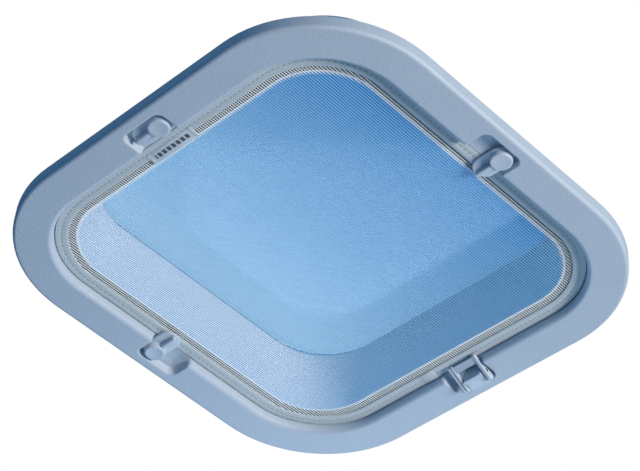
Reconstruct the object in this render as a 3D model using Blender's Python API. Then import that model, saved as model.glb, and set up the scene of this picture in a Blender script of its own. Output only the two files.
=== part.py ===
"""Square opening deck port with an inside trim, an insect screen and its catches.

The port closes a square hole in a deck. Above the deck stand the aluminium frame, its
gasket and the hinged lid with the acrylic lens. A liner tapers up through the deck
from the cabin side. Below the deck the moulded trim holds the insect screen with three turn
catches and one rocking clip. All sizes are in metres, +Z is up and out of the boat, and the
origin is the centre of the opening on the deck's surface.
"""

import math

import bmesh
import bpy
from mathutils import Matrix, Vector

# Opening and deck
OPENING_HALF = 0.127
OPENING_RADIUS = 0.044
DECK_THICKNESS = 0.030
TOUCH_GAP = 0.0003
CORNER_STEPS = 8

# Frame on the deck
SEAL_THICKNESS = 0.0012
SPIGOT_WALL = 0.0040
SPIGOT_DEPTH = 0.0100
SPIGOT_RADIUS = 0.048
FLANGE_WIDTH = 0.0169
FLANGE_RADIUS = 0.084
FLANGE_THICKNESS = 0.0045
SEAT_FILLET = 0.0010
UPSTAND_RISE = 0.0015
GASKET_WIDTH = 0.0048
GASKET_HEIGHT = 0.0032
WELL_NARROWING = 0.007
WELL_TOP_RADIUS = 0.043
LINER_WALL = 0.0020
LINER_FLANGE = 0.0062
LINER_FLANGE_THICKNESS = 0.0015

# Lid
LENS_OVERLAP = 0.0062
LENS_THICKNESS = 0.008
LENS_EDGE_RADIUS = 0.0010
BOND_WIDTH = 0.0006
LID_WALL = 0.0026
LID_EDGE_FILLET = 0.0020
LID_LEDGE_WIDTH = 0.0045
LID_LEDGE_THICKNESS = 0.0024

# Trim below the deck
TRIM_THICKNESS = 0.010
TRIM_OUTER_RADIUS = 0.088
TRIM_FACE_WIDTH = 0.0274
TRIM_OUTER_FILLET = 0.0038
TRIM_LIP_FILLET = 0.0035
TRIM_LEDGE_THICKNESS = 0.0010
TRIM_WALL = 0.0030
SCREEN_BORDER = 0.0156
LEDGE_WIDTH = 0.0066

# Insect screen
TAPE_WIDTH = 0.0090
TAPE_THICKNESS = 0.0007
TAPE_DROP = 0.0038
MESH_THICKNESS = 0.0003
MESH_SETBACK = 0.0066
WIRE_RADIUS = 0.0007
LABEL_LENGTH = 0.0405
LABEL_WIDTH = 0.0085
LABEL_OVERLAP = 0.0038
LABEL_INSET = 0.0015

# Turn catches
CATCH_SETBACK = 0.0094
CATCH_OFFSET = 0.0075
KNOB_RADIUS = 0.00735
KNOB_PROUD = 0.0006
KNOB_EDGE = 0.0008
ARM_HALF_WIDTH = 0.0083
ARM_REACH = 0.0215
ARM_THICKNESS = 0.0022
FIN_WIDTH = 0.0031
FIN_DROP = 0.0008
PIVOT_RADIUS = 0.0020
PIVOT_HEAD_RADIUS = 0.0034
PIVOT_HEAD_THICKNESS = 0.0016
PIVOT_DEPTH = 0.0050
RUN_CLEARANCE = 0.00015
POCKET_ARM_SIDE = 0.0174
POCKET_KNOB_SIDE = 0.0164
POCKET_DEPTH = 0.0191
POCKET_CORNER = 0.0060
POCKET_FLOOR_DROP = 0.0038

# Rocking clip
CLIP_CENTRE = -0.0032
CLIP_WIDTH = 0.0245
CHEEK_THICKNESS = 0.0028
CHEEK_NOSE_RADIUS = 0.0012
CHEEK_END_RADIUS = 0.0028
CLIP_NOSE_SETBACK = -0.0036
CLIP_NOSE_DROP = 0.0056
CLIP_END_SETBACK = 0.0136
CLIP_END_DROP = 0.0124
CLIP_PIVOT_SETBACK = 0.0089
CLIP_PIN_RADIUS = 0.0011
CLIP_BAR_WIDTH = 0.0052
CLIP_BLOCK_START = 0.0068
CLIP_BLOCK_END = 0.0178
CLIP_BLOCK_WIDTH = 0.0158
CLIP_BLOCK_DROP = 0.0132
CLIP_BLOCK_EDGE = 0.0012
CLIP_SCREW_EDGE = 0.0040

# Hinges, handles and screws
HINGE_SPACING = 0.144
HINGE_AXIS_GAP = 0.0080
HINGE_AXIS_RISE = 0.0052
HINGE_KNUCKLE_RADIUS = 0.0050
HINGE_KNUCKLE_WIDTH = 0.016
HINGE_CHEEK_WIDTH = 0.0050
HINGE_PIN_RADIUS = 0.0022
HINGE_SIDE_GAP = 0.0004
HINGE_FOOT_THICKNESS = 0.0025
HANDLE_SPACING = 0.130
HANDLE_SETBACK = 0.0090
HANDLE_SEAL_HEIGHT = 0.0020
HANDLE_SEAL_RADIUS = 0.0066
HANDLE_HUB_RADIUS = 0.0058
HANDLE_HUB_HEIGHT = 0.0079
HANDLE_GRIP_LENGTH = 0.050
HANDLE_GRIP_WIDTH = 0.0098
HANDLE_GRIP_THICKNESS = 0.0050
HANDLE_NOSE_LENGTH = 0.0092
HANDLE_NOSE_WIDTH = 0.0076
HANDLE_NOSE_THICKNESS = 0.0030
HANDLE_CAP_RADIUS = 0.0090
HANDLE_CAP_HEIGHT = 0.0026
SPINDLE_RADIUS = 0.0032
SPINDLE_SOCKET = 0.0058
KEEPER_REACH = 0.0030
KEEPER_WIDTH = 0.020
KEEPER_THICKNESS = 0.0024
DECK_SCREW_OFFSET = 0.052
DECK_SCREW_HEAD_RADIUS = 0.0036
DECK_SCREW_HEAD_HEIGHT = 0.0022
DECK_SCREW_RADIUS = 0.0020
DECK_SCREW_LENGTH = 0.022
DECK_SCREW_POINT = 0.0030
TRIM_SCREW_OFFSET = 0.055
TRIM_SCREW_HEAD_RADIUS = 0.0021
TRIM_SCREW_HEAD_HEIGHT = 0.0009
TRIM_SCREW_RADIUS = 0.0012
TRIM_SCREW_LENGTH = 0.012
HOLE_CLEARANCE = 0.0003
UNION_STEP = 0.0001
CUT_EXTRA = 0.010

# Heights and half-widths that follow from the sizes above
CEILING = -DECK_THICKNESS
TRIM_FACE = CEILING - TRIM_THICKNESS
FLANGE_LOW = SEAL_THICKNESS + TOUCH_GAP
FLANGE_TOP = FLANGE_LOW + FLANGE_THICKNESS
UPSTAND_TOP = FLANGE_TOP + UPSTAND_RISE
GASKET_LOW = UPSTAND_TOP + TOUCH_GAP
GASKET_TOP = GASKET_LOW + GASKET_HEIGHT
LID_LOW = GASKET_TOP + TOUCH_GAP
LID_LEDGE_TOP = LID_LOW + LID_LEDGE_THICKNESS
LENS_LOW = LID_LEDGE_TOP + TOUCH_GAP
LENS_TOP = LENS_LOW + LENS_THICKNESS
LID_TOP = LENS_TOP
WELL_TOP_HALF = OPENING_HALF - WELL_NARROWING
WELL_TAPER = (OPENING_HALF - WELL_TOP_HALF) / (LENS_LOW - CEILING)
SPIGOT_GAP = LINER_WALL + 2 * TOUCH_GAP
SPIGOT_OUTER = OPENING_HALF + WELL_TAPER * (CEILING + SPIGOT_DEPTH) + SPIGOT_GAP + SPIGOT_WALL
FLANGE_HALF = SPIGOT_OUTER + FLANGE_WIDTH
LENS_HALF = WELL_TOP_HALF + LENS_OVERLAP
BOND_INNER = LENS_HALF + TOUCH_GAP
BOND_OUTER = BOND_INNER + BOND_WIDTH
LID_INNER = BOND_OUTER + TOUCH_GAP
LID_HALF = LID_INNER + LID_WALL
RECESS_HALF = OPENING_HALF + SCREEN_BORDER
TRIM_HALF = RECESS_HALF + TRIM_FACE_WIDTH
LEDGE_FACE = CEILING - TRIM_LEDGE_THICKNESS
LEDGE_INNER = RECESS_HALF - LEDGE_WIDTH
POCKET_FLOOR = CEILING - POCKET_FLOOR_DROP
TAPE_FACE = CEILING - TAPE_DROP
TAPE_BACK = TAPE_FACE + TAPE_THICKNESS
TAPE_OUTER = RECESS_HALF - 2 * TOUCH_GAP
TAPE_INNER = TAPE_OUTER - TAPE_WIDTH
MESH_LOW = TAPE_BACK + TOUCH_GAP
MESH_HIGH = MESH_LOW + MESH_THICKNESS
CATCH_RADIUS = RECESS_HALF + CATCH_SETBACK
ARM_BACK = POCKET_FLOOR - TOUCH_GAP
ARM_FACE = ARM_BACK - ARM_THICKNESS
KNOB_TOP = TRIM_FACE - KNOB_PROUD
HINGE_AXIS_Y = LID_HALF + HINGE_AXIS_GAP
HINGE_AXIS_HEIGHT = LID_LOW + HINGE_AXIS_RISE
HANDLE_Y = -(WELL_TOP_HALF - HANDLE_SETBACK)
HANDLE_SEAL_LOW = LENS_LOW - TOUCH_GAP - HANDLE_SEAL_HEIGHT
HANDLE_HUB_TOP = HANDLE_SEAL_LOW - TOUCH_GAP
HANDLE_LOW = HANDLE_HUB_TOP - HANDLE_HUB_HEIGHT
KEEPER_LOW = HANDLE_LOW + HANDLE_NOSE_THICKNESS + 2 * TOUCH_GAP
KEEPER_TOP = KEEPER_LOW + KEEPER_THICKNESS

# Each catch: its name, the side's turn from the near side, and where its arm points
CATCH_SIDES = (("near", 0.0, 90.0), ("left", -90.0, 90.0), ("far", 180.0, -90.0))
POCKET_TURNS = (0.0, -90.0, 180.0, 90.0)


def clear_scene():
    """Remove every object that the file starts with."""
    for item in list(bpy.data.objects):
        bpy.data.objects.remove(item, do_unlink=True)


def make_material(name, colour, roughness, metallic=0.0, alpha=1.0):
    """Return a plain material for one finish."""
    finish = bpy.data.materials.new(name)
    finish.use_nodes = True
    shader = finish.node_tree.nodes["Principled BSDF"]
    shader.inputs["Base Color"].default_value = (*colour, 1.0)
    shader.inputs["Roughness"].default_value = roughness
    shader.inputs["Metallic"].default_value = metallic
    shader.inputs["Alpha"].default_value = alpha
    return finish


def make_object(name, bm, finish, pivot=(0.0, 0.0, 0.0)):
    """Turn a bmesh into a named object whose origin is the pivot."""
    bmesh.ops.remove_doubles(bm, verts=bm.verts[:], dist=0.000001)
    bmesh.ops.recalc_face_normals(bm, faces=bm.faces[:])
    mesh = bpy.data.meshes.new(name)
    bm.to_mesh(mesh)
    bm.free()
    mesh.transform(Matrix.Translation(-Vector(pivot)))
    mesh.shade_smooth()
    mesh.set_sharp_from_angle(angle=math.radians(35))
    item = bpy.data.objects.new(name, mesh)
    item.location = pivot
    if finish is not None:
        mesh.materials.append(finish)
    bpy.context.scene.collection.objects.link(item)
    return item


def make_cutter(name, bm):
    """Turn a bmesh into a hidden wire shape for a Boolean."""
    item = make_object(name, bm, None)
    item.hide_render = True
    item.display_type = "WIRE"
    return item


def combine(item, other, operation):
    """Cut the other shape out of an object, or join it on."""
    step = item.modifiers.new(other.name, "BOOLEAN")
    step.object = other
    step.operation = operation
    step.solver = "EXACT"


def corner_radius(half):
    """Return the corner radius of a square that is concentric with the opening."""
    return OPENING_RADIUS + half - OPENING_HALF


def lid_radius(half):
    """Return the corner radius of a square that is concentric with the well's upper end."""
    return WELL_TOP_RADIUS + half - WELL_TOP_HALF


def well_ring(height, offset):
    """Return (half-width, radius, height) of the tapering well, grown by an offset."""
    share = (height - CEILING) / (LENS_LOW - CEILING)
    half = OPENING_HALF + (WELL_TOP_HALF - OPENING_HALF) * share
    radius = OPENING_RADIUS + (WELL_TOP_RADIUS - OPENING_RADIUS) * share
    return half + offset, radius + offset, height


def rounded_square(half, radius):
    """Return the outline of a square with round corners, anticlockwise."""
    centre = half - radius
    points = []
    for corner in range(4):
        start = corner * math.pi / 2
        middle_x = centre * (1 if corner in (0, 3) else -1)
        middle_y = centre * (1 if corner in (0, 1) else -1)
        for step in range(CORNER_STEPS + 1):
            angle = start + step * math.pi / 2 / CORNER_STEPS
            points.append((middle_x + radius * math.cos(angle), middle_y + radius * math.sin(angle)))
    return points


def rounded_box(x_low, x_high, y_low, y_high, radius, steps=5):
    """Return the outline of a rectangle with round corners, anticlockwise."""
    corners = ((x_high, y_high, 0), (x_low, y_high, 1), (x_low, y_low, 2), (x_high, y_low, 3))
    points = []
    for x, y, quarter in corners:
        middle_x = x - math.copysign(radius, x - (x_low + x_high) / 2)
        middle_y = y - math.copysign(radius, y - (y_low + y_high) / 2)
        for step in range(steps + 1):
            angle = (quarter + step / steps) * math.pi / 2
            points.append((middle_x + radius * math.cos(angle), middle_y + radius * math.sin(angle)))
    return points


def circle_outline(x, y, radius, steps=16):
    """Return the outline of a circle, anticlockwise."""
    turns = [2 * math.pi * step / steps for step in range(steps)]
    return [(x + radius * math.cos(turn), y + radius * math.sin(turn)) for turn in turns]


def add_loop(bm, outline, height):
    """Add a loop of vertices and return them."""
    return [bm.verts.new((x, y, height)) for x, y in outline]


def join_loops(bm, first, second):
    """Join two loops with the same number of vertices by a band of faces."""
    for i in range(len(first)):
        bm.faces.new((first[i - 1], first[i], second[i], second[i - 1]))


def add_ring(bm, section):
    """Sweep a closed section, given as (half-width, radius, height), round the square."""
    loops = [add_loop(bm, rounded_square(half, radius), height) for half, radius, height in section]
    for first, second in zip(loops, loops[1:] + loops[:1]):
        join_loops(bm, first, second)


def make_ring(name, section, finish, radius_of=corner_radius, pivot=(0.0, 0.0, 0.0)):
    """Make a ring from (half-width, height) points, with corners concentric to an opening."""
    bm = bmesh.new()
    add_ring(bm, [(half, radius_of(half), height) for half, height in section])
    return make_object(name, bm, finish, pivot)


def box_section(inner, outer, low, high):
    """Return a rectangular ring section."""
    return [(inner, low), (outer, low), (outer, high), (inner, high)]


def add_prism(bm, outline, low, high):
    """Add a closed prism standing on an outline."""
    face = bm.faces.new([bm.verts.new((x, y, low)) for x, y in outline])
    grown = bmesh.ops.extrude_face_region(bm, geom=[face])["geom"]
    top = [part for part in grown if isinstance(part, bmesh.types.BMVert)]
    bmesh.ops.translate(bm, verts=top, vec=(0.0, 0.0, high - low))
    return list(face.verts) + top


def add_turned(bm, profile, matrix, steps=16):
    """Add a solid turned from a profile of (radius, height) that starts and ends on the axis."""
    verts = [bm.verts.new((radius, 0.0, height)) for radius, height in profile]
    edges = [bm.edges.new(pair) for pair in zip(verts, verts[1:])]
    bmesh.ops.spin(
        bm,
        geom=verts + edges,
        cent=(0.0, 0.0, 0.0),
        axis=(0.0, 0.0, 1.0),
        angle=2 * math.pi,
        steps=steps,
        use_merge=True,
    )
    bmesh.ops.remove_doubles(bm, verts=bm.verts[:], dist=0.000001)
    bmesh.ops.transform(bm, matrix=matrix, verts=bm.verts[:])


def make_turned(name, profile, finish, x, y, pivot=(0.0, 0.0, 0.0), steps=16):
    """Make a solid turned about the vertical line through (x, y)."""
    bm = bmesh.new()
    add_turned(bm, profile, Matrix.Translation((x, y, 0.0)), steps)
    return make_object(name, bm, finish, pivot)


def add_post(bm, x, y, radius, low, high, steps=16):
    """Add a round post."""
    place = Matrix.Translation((x, y, (low + high) / 2))
    bmesh.ops.create_cone(
        bm, cap_ends=True, segments=steps, radius1=radius, radius2=radius, depth=high - low, matrix=place
    )


def add_bar(bm, x, y, z, radius, length, steps=16):
    """Add a round bar along Y, centred on a point."""
    place = Matrix.Translation((x, y, z)) @ Matrix.Rotation(math.pi / 2, 4, "X")
    bmesh.ops.create_cone(
        bm, cap_ends=True, segments=steps, radius1=radius, radius2=radius, depth=length, matrix=place
    )


def bolt_places(half, offset):
    """Return eight places on the sides of a square, two a side."""
    places = []
    for turn in range(4):
        for side in (-1, 1):
            point = Matrix.Rotation(turn * math.pi / 2, 2) @ Vector((side * offset, -half))
            places.append((point.x, point.y))
    return places


def side_place(x, y, turn):
    """Turn a point of the near side (towards -Y) to another side of the square."""
    point = Matrix.Rotation(math.radians(turn), 2) @ Vector((x, y))
    return point.x, point.y


def build_frame(metal, rubber, plastic, steel):
    """Build the aluminium frame, its seals, the liner and the deck screws."""
    screw_half = (SPIGOT_OUTER + FLANGE_HALF) / 2
    holes = bmesh.new()
    for x, y in bolt_places(screw_half, DECK_SCREW_OFFSET):
        add_post(holes, x, y, DECK_SCREW_RADIUS + HOLE_CLEARANCE, -SPIGOT_DEPTH, UPSTAND_TOP)
    cutter = make_cutter("deck_screw_holes", holes)

    edge = FLANGE_THICKNESS / 3
    foot_radius = SPIGOT_RADIUS + SEAT_FILLET
    bm = bmesh.new()
    add_ring(
        bm,
        [
            well_ring(-SPIGOT_DEPTH, SPIGOT_GAP),
            (SPIGOT_OUTER, SPIGOT_RADIUS, -SPIGOT_DEPTH),
            (SPIGOT_OUTER, SPIGOT_RADIUS, FLANGE_LOW),
            (FLANGE_HALF, FLANGE_RADIUS, FLANGE_LOW),
            (FLANGE_HALF, FLANGE_RADIUS, FLANGE_TOP - edge),
            (FLANGE_HALF - edge, FLANGE_RADIUS - edge, FLANGE_TOP),
            (SPIGOT_OUTER + SEAT_FILLET, foot_radius, FLANGE_TOP),
            (SPIGOT_OUTER, SPIGOT_RADIUS, FLANGE_TOP + SEAT_FILLET),
            (SPIGOT_OUTER, SPIGOT_RADIUS, UPSTAND_TOP),
            well_ring(UPSTAND_TOP, SPIGOT_GAP),
        ],
    )
    frame = make_object("base_frame", bm, metal)
    combine(frame, cutter, "DIFFERENCE")

    seal_inner = SPIGOT_OUTER + 2 * TOUCH_GAP
    seal_outer = FLANGE_HALF - edge
    bm = bmesh.new()
    add_ring(
        bm,
        [
            (seal_inner, SPIGOT_RADIUS + 2 * TOUCH_GAP, 0.0),
            (seal_outer, FLANGE_RADIUS - edge, 0.0),
            (seal_outer, FLANGE_RADIUS - edge, SEAL_THICKNESS),
            (seal_inner, SPIGOT_RADIUS + 2 * TOUCH_GAP, SEAL_THICKNESS),
        ],
    )
    seal = make_object("bedding_seal", bm, rubber)
    combine(seal, cutter, "DIFFERENCE")
    gasket_outer = LID_HALF - TOUCH_GAP
    gasket_section = box_section(gasket_outer - GASKET_WIDTH, gasket_outer, GASKET_LOW, GASKET_TOP)
    make_ring("lens_gasket", gasket_section, rubber, lid_radius)

    liner_low = CEILING + TOUCH_GAP
    liner_step = liner_low + LINER_FLANGE_THICKNESS
    bm = bmesh.new()
    add_ring(
        bm,
        [
            well_ring(liner_low, 0.0),
            well_ring(liner_low, LINER_WALL + LINER_FLANGE),
            well_ring(liner_step, LINER_WALL + LINER_FLANGE),
            well_ring(liner_step, LINER_WALL),
            well_ring(GASKET_TOP, LINER_WALL),
            well_ring(GASKET_TOP, 0.0),
        ],
    )
    make_object("liner_sleeve", bm, plastic)

    head = FLANGE_TOP + TOUCH_GAP
    tip = head - DECK_SCREW_LENGTH
    profile = [
        (0.0, tip),
        (DECK_SCREW_RADIUS * 0.5, tip),
        (DECK_SCREW_RADIUS, tip + DECK_SCREW_POINT),
        (DECK_SCREW_RADIUS, head),
        (DECK_SCREW_HEAD_RADIUS, head),
        (DECK_SCREW_HEAD_RADIUS, head + DECK_SCREW_HEAD_HEIGHT * 0.4),
        (DECK_SCREW_HEAD_RADIUS * 0.6, head + DECK_SCREW_HEAD_HEIGHT),
        (0.0, head + DECK_SCREW_HEAD_HEIGHT),
    ]
    for number, (x, y) in enumerate(bolt_places(screw_half, DECK_SCREW_OFFSET), 1):
        make_turned(f"deck_screw_{number}", profile, steel, x, y, steps=12)


def build_lid(metal, acrylic, rubber):
    """Build the lid: frame, lens, bond and handle seals."""
    hinge = (0.0, HINGE_AXIS_Y, HINGE_AXIS_HEIGHT)
    handle_holes = bmesh.new()
    for side in (-1, 1):
        x = side * HANDLE_SPACING / 2
        add_post(handle_holes, x, HANDLE_Y, SPINDLE_RADIUS + HOLE_CLEARANCE, LID_LOW, LENS_TOP + LENS_LOW)
    cutter = make_cutter("spindle_holes", handle_holes)

    bm = bmesh.new()
    edge = LENS_EDGE_RADIUS
    levels = (
        (0.0, LENS_LOW),
        (0.0, LENS_TOP - edge),
        (edge * 0.3, LENS_TOP - edge * 0.3),
        (edge, LENS_TOP),
    )
    loops = []
    for inset, height in levels:
        half = LENS_HALF - inset
        loops.append(add_loop(bm, rounded_square(half, lid_radius(half)), height))
    for first, second in zip(loops, loops[1:]):
        join_loops(bm, first, second)
    bm.faces.new(loops[0])
    bm.faces.new(loops[-1])
    lens = make_object("lens", bm, acrylic, hinge)
    combine(lens, cutter, "DIFFERENCE")

    bond_section = box_section(BOND_INNER, BOND_OUTER, LENS_LOW, LENS_TOP)
    make_ring("lens_bond", bond_section, rubber, lid_radius, hinge)
    edge = LID_EDGE_FILLET
    make_ring(
        "lid_frame",
        [
            (LID_INNER - LID_LEDGE_WIDTH, LID_LOW),
            (LID_HALF, LID_LOW),
            (LID_HALF, LID_TOP - edge),
            (LID_HALF - edge * 0.3, LID_TOP - edge * 0.3),
            (LID_HALF - edge, LID_TOP),
            (LID_INNER, LID_TOP),
            (LID_INNER, LID_LEDGE_TOP),
            (LID_INNER - LID_LEDGE_WIDTH, LID_LEDGE_TOP),
        ],
        metal,
        lid_radius,
        hinge,
    )

    seal_top = LENS_LOW - TOUCH_GAP
    for side, label in ((-1, "left"), (1, "right")):
        x = side * HANDLE_SPACING / 2
        inner = circle_outline(x, HANDLE_Y, SPINDLE_RADIUS + HOLE_CLEARANCE)
        outer = circle_outline(x, HANDLE_Y, HANDLE_SEAL_RADIUS)
        bm = bmesh.new()
        loops = [
            add_loop(bm, inner, HANDLE_SEAL_LOW),
            add_loop(bm, outer, HANDLE_SEAL_LOW),
            add_loop(bm, outer, seal_top),
            add_loop(bm, inner, seal_top),
        ]
        for first, second in zip(loops, loops[1:] + loops[:1]):
            join_loops(bm, first, second)
        make_object(f"handle_seal_{label}", bm, rubber, hinge)


def build_hinges(metal, steel):
    """Build both lid hinges: base, pin and arm."""
    foot_low = FLANGE_TOP + TOUCH_GAP
    cheek_start = HINGE_KNUCKLE_WIDTH / 2 + HINGE_SIDE_GAP
    back = HINGE_AXIS_Y - HINGE_KNUCKLE_RADIUS
    pin_length = 2 * (cheek_start + HINGE_CHEEK_WIDTH)
    pivot = (0.0, HINGE_AXIS_Y, HINGE_AXIS_HEIGHT)
    for side, label in ((-1, "left"), (1, "right")):
        x = side * HINGE_SPACING / 2
        outline = hinge_cheek_outline(foot_low, back)
        bm = bmesh.new()
        add_x_prism(bm, outline, x - cheek_start - HINGE_CHEEK_WIDTH, x + cheek_start + HINGE_CHEEK_WIDTH)
        base = make_object(f"hinge_base_{label}", bm, metal)
        slot = bmesh.new()
        slot_low = foot_low + HINGE_FOOT_THICKNESS
        slot_high = HINGE_AXIS_HEIGHT + 2 * HINGE_KNUCKLE_RADIUS
        slot_ends = (back - HINGE_KNUCKLE_RADIUS, HINGE_AXIS_Y + 2 * HINGE_KNUCKLE_RADIUS)
        slot_outline = rounded_box(x - cheek_start, x + cheek_start, *slot_ends, HINGE_SIDE_GAP, 1)
        add_prism(slot, slot_outline, slot_low, slot_high)
        combine(base, make_cutter(f"hinge_slot_{label}", slot), "DIFFERENCE")
        bore = bmesh.new()
        add_x_bar(bore, x, HINGE_PIN_RADIUS + RUN_CLEARANCE, 2 * pin_length)
        bore_cutter = make_cutter(f"hinge_bore_{label}", bore)
        combine(base, bore_cutter, "DIFFERENCE")

        pin = bmesh.new()
        add_x_bar(pin, x, HINGE_PIN_RADIUS, pin_length)
        make_object(f"hinge_pin_{label}", pin, steel)

        arm = bmesh.new()
        add_x_prism(arm, hinge_arm_outline(), x - HINGE_KNUCKLE_WIDTH / 2, x + HINGE_KNUCKLE_WIDTH / 2)
        knuckle = make_object(f"hinge_arm_{label}", arm, metal, pivot)
        combine(knuckle, bore_cutter, "DIFFERENCE")


def hinge_cheek_outline(foot_low, back):
    """Return the side outline (y, z) of a hinge base: a foot with a rounded top on the axis."""
    radius = HINGE_KNUCKLE_RADIUS
    points = [(back, foot_low), (HINGE_AXIS_Y + radius, foot_low)]
    for step in range(9):
        angle = step * math.pi / 8
        y = HINGE_AXIS_Y + radius * math.cos(angle)
        points.append((y, HINGE_AXIS_HEIGHT + radius * math.sin(angle)))
    return points


def hinge_arm_outline():
    """Return the side outline (y, z) of a hinge arm: a knuckle with a pad against the lid."""
    radius = HINGE_KNUCKLE_RADIUS
    start = LID_HALF + TOUCH_GAP
    rise = radius * 0.84
    points = [(start, HINGE_AXIS_HEIGHT - rise)]
    for step in range(11):
        angle = -math.pi / 2 + step * math.pi / 10
        y = HINGE_AXIS_Y + radius * math.cos(angle)
        points.append((y, HINGE_AXIS_HEIGHT + radius * math.sin(angle)))
    points.append((start, HINGE_AXIS_HEIGHT + rise))
    return points


def add_x_prism(bm, outline, x_low, x_high):
    """Add a prism along X from a (y, z) outline."""
    face = bm.faces.new([bm.verts.new((x_low, y, z)) for y, z in outline])
    grown = bmesh.ops.extrude_face_region(bm, geom=[face])["geom"]
    top = [part for part in grown if isinstance(part, bmesh.types.BMVert)]
    bmesh.ops.translate(bm, verts=top, vec=(x_high - x_low, 0.0, 0.0))


def add_x_bar(bm, x, radius, length):
    """Add a round bar along X on the hinge axis."""
    place = Matrix.Translation((x, HINGE_AXIS_Y, HINGE_AXIS_HEIGHT)) @ Matrix.Rotation(math.pi / 2, 4, "Y")
    bmesh.ops.create_cone(
        bm, cap_ends=True, segments=16, radius1=radius, radius2=radius, depth=length, matrix=place
    )


def build_handles(plastic, steel):
    """Build both lid handles, their spindles and the keepers on the liner."""
    for side, label in ((-1, "left"), (1, "right")):
        x = side * HANDLE_SPACING / 2
        pivot = (x, HANDLE_Y, HANDLE_LOW)
        half_width = HANDLE_GRIP_WIDTH / 2

        bm = bmesh.new()
        add_post(bm, x, HANDLE_Y, HANDLE_HUB_RADIUS, HANDLE_LOW, HANDLE_HUB_TOP, 24)
        lever = make_object(f"handle_lever_{label}", bm, plastic, pivot)
        grip = bmesh.new()
        grip_ends = sorted((x, x - side * HANDLE_GRIP_LENGTH))
        grip_sides = (HANDLE_Y - half_width, HANDLE_Y + half_width)
        grip_outline = rounded_box(*grip_ends, *grip_sides, half_width * 0.95)
        add_prism(grip, grip_outline, HANDLE_LOW + UNION_STEP, HANDLE_LOW + HANDLE_GRIP_THICKNESS)
        combine(lever, make_cutter(f"handle_grip_{label}", grip), "UNION")
        nose = bmesh.new()
        nose_ends = sorted((x, x + side * HANDLE_NOSE_LENGTH))
        half_width = HANDLE_NOSE_WIDTH / 2
        nose_sides = (HANDLE_Y - half_width, HANDLE_Y + half_width)
        nose_outline = rounded_box(*nose_ends, *nose_sides, half_width * 0.9)
        add_prism(nose, nose_outline, HANDLE_LOW + 2 * UNION_STEP, HANDLE_LOW + HANDLE_NOSE_THICKNESS)
        combine(lever, make_cutter(f"handle_nose_{label}", nose), "UNION")
        socket = bmesh.new()
        socket_low = HANDLE_HUB_TOP - SPINDLE_SOCKET
        add_post(socket, x, HANDLE_Y, SPINDLE_RADIUS + HOLE_CLEARANCE, socket_low, LENS_LOW)
        combine(lever, make_cutter(f"handle_socket_{label}", socket), "DIFFERENCE")

        cap_low = LENS_TOP + TOUCH_GAP
        profile = [
            (0.0, socket_low + TOUCH_GAP),
            (SPINDLE_RADIUS, socket_low + TOUCH_GAP),
            (SPINDLE_RADIUS, cap_low),
            (HANDLE_CAP_RADIUS, cap_low),
            (HANDLE_CAP_RADIUS, cap_low + HANDLE_CAP_HEIGHT * 0.5),
            (HANDLE_CAP_RADIUS * 0.85, cap_low + HANDLE_CAP_HEIGHT),
            (0.0, cap_low + HANDLE_CAP_HEIGHT),
        ]
        make_turned(f"handle_spindle_{label}", profile, steel, x, HANDLE_Y, pivot)

        keeper = bmesh.new()
        wall = TOUCH_GAP - well_ring(KEEPER_TOP, 0.0)[0]
        keeper_ends = (x - KEEPER_WIDTH / 2, x + KEEPER_WIDTH / 2)
        keeper_outline = rounded_box(*keeper_ends, wall, wall + KEEPER_REACH, KEEPER_REACH / 3, 3)
        add_prism(keeper, keeper_outline, KEEPER_LOW, KEEPER_TOP)
        make_object(f"keeper_{label}", keeper, steel)


def pocket_outline(turn):
    """Return the outline of the pocket that a catch turns in, on one side of the trim."""
    outline = rounded_box(
        -POCKET_ARM_SIDE,
        POCKET_KNOB_SIDE,
        -(RECESS_HALF + POCKET_DEPTH),
        POCKET_CORNER * 2 - RECESS_HALF,
        POCKET_CORNER,
    )
    return [side_place(x, y, turn) for x, y in outline]


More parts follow.
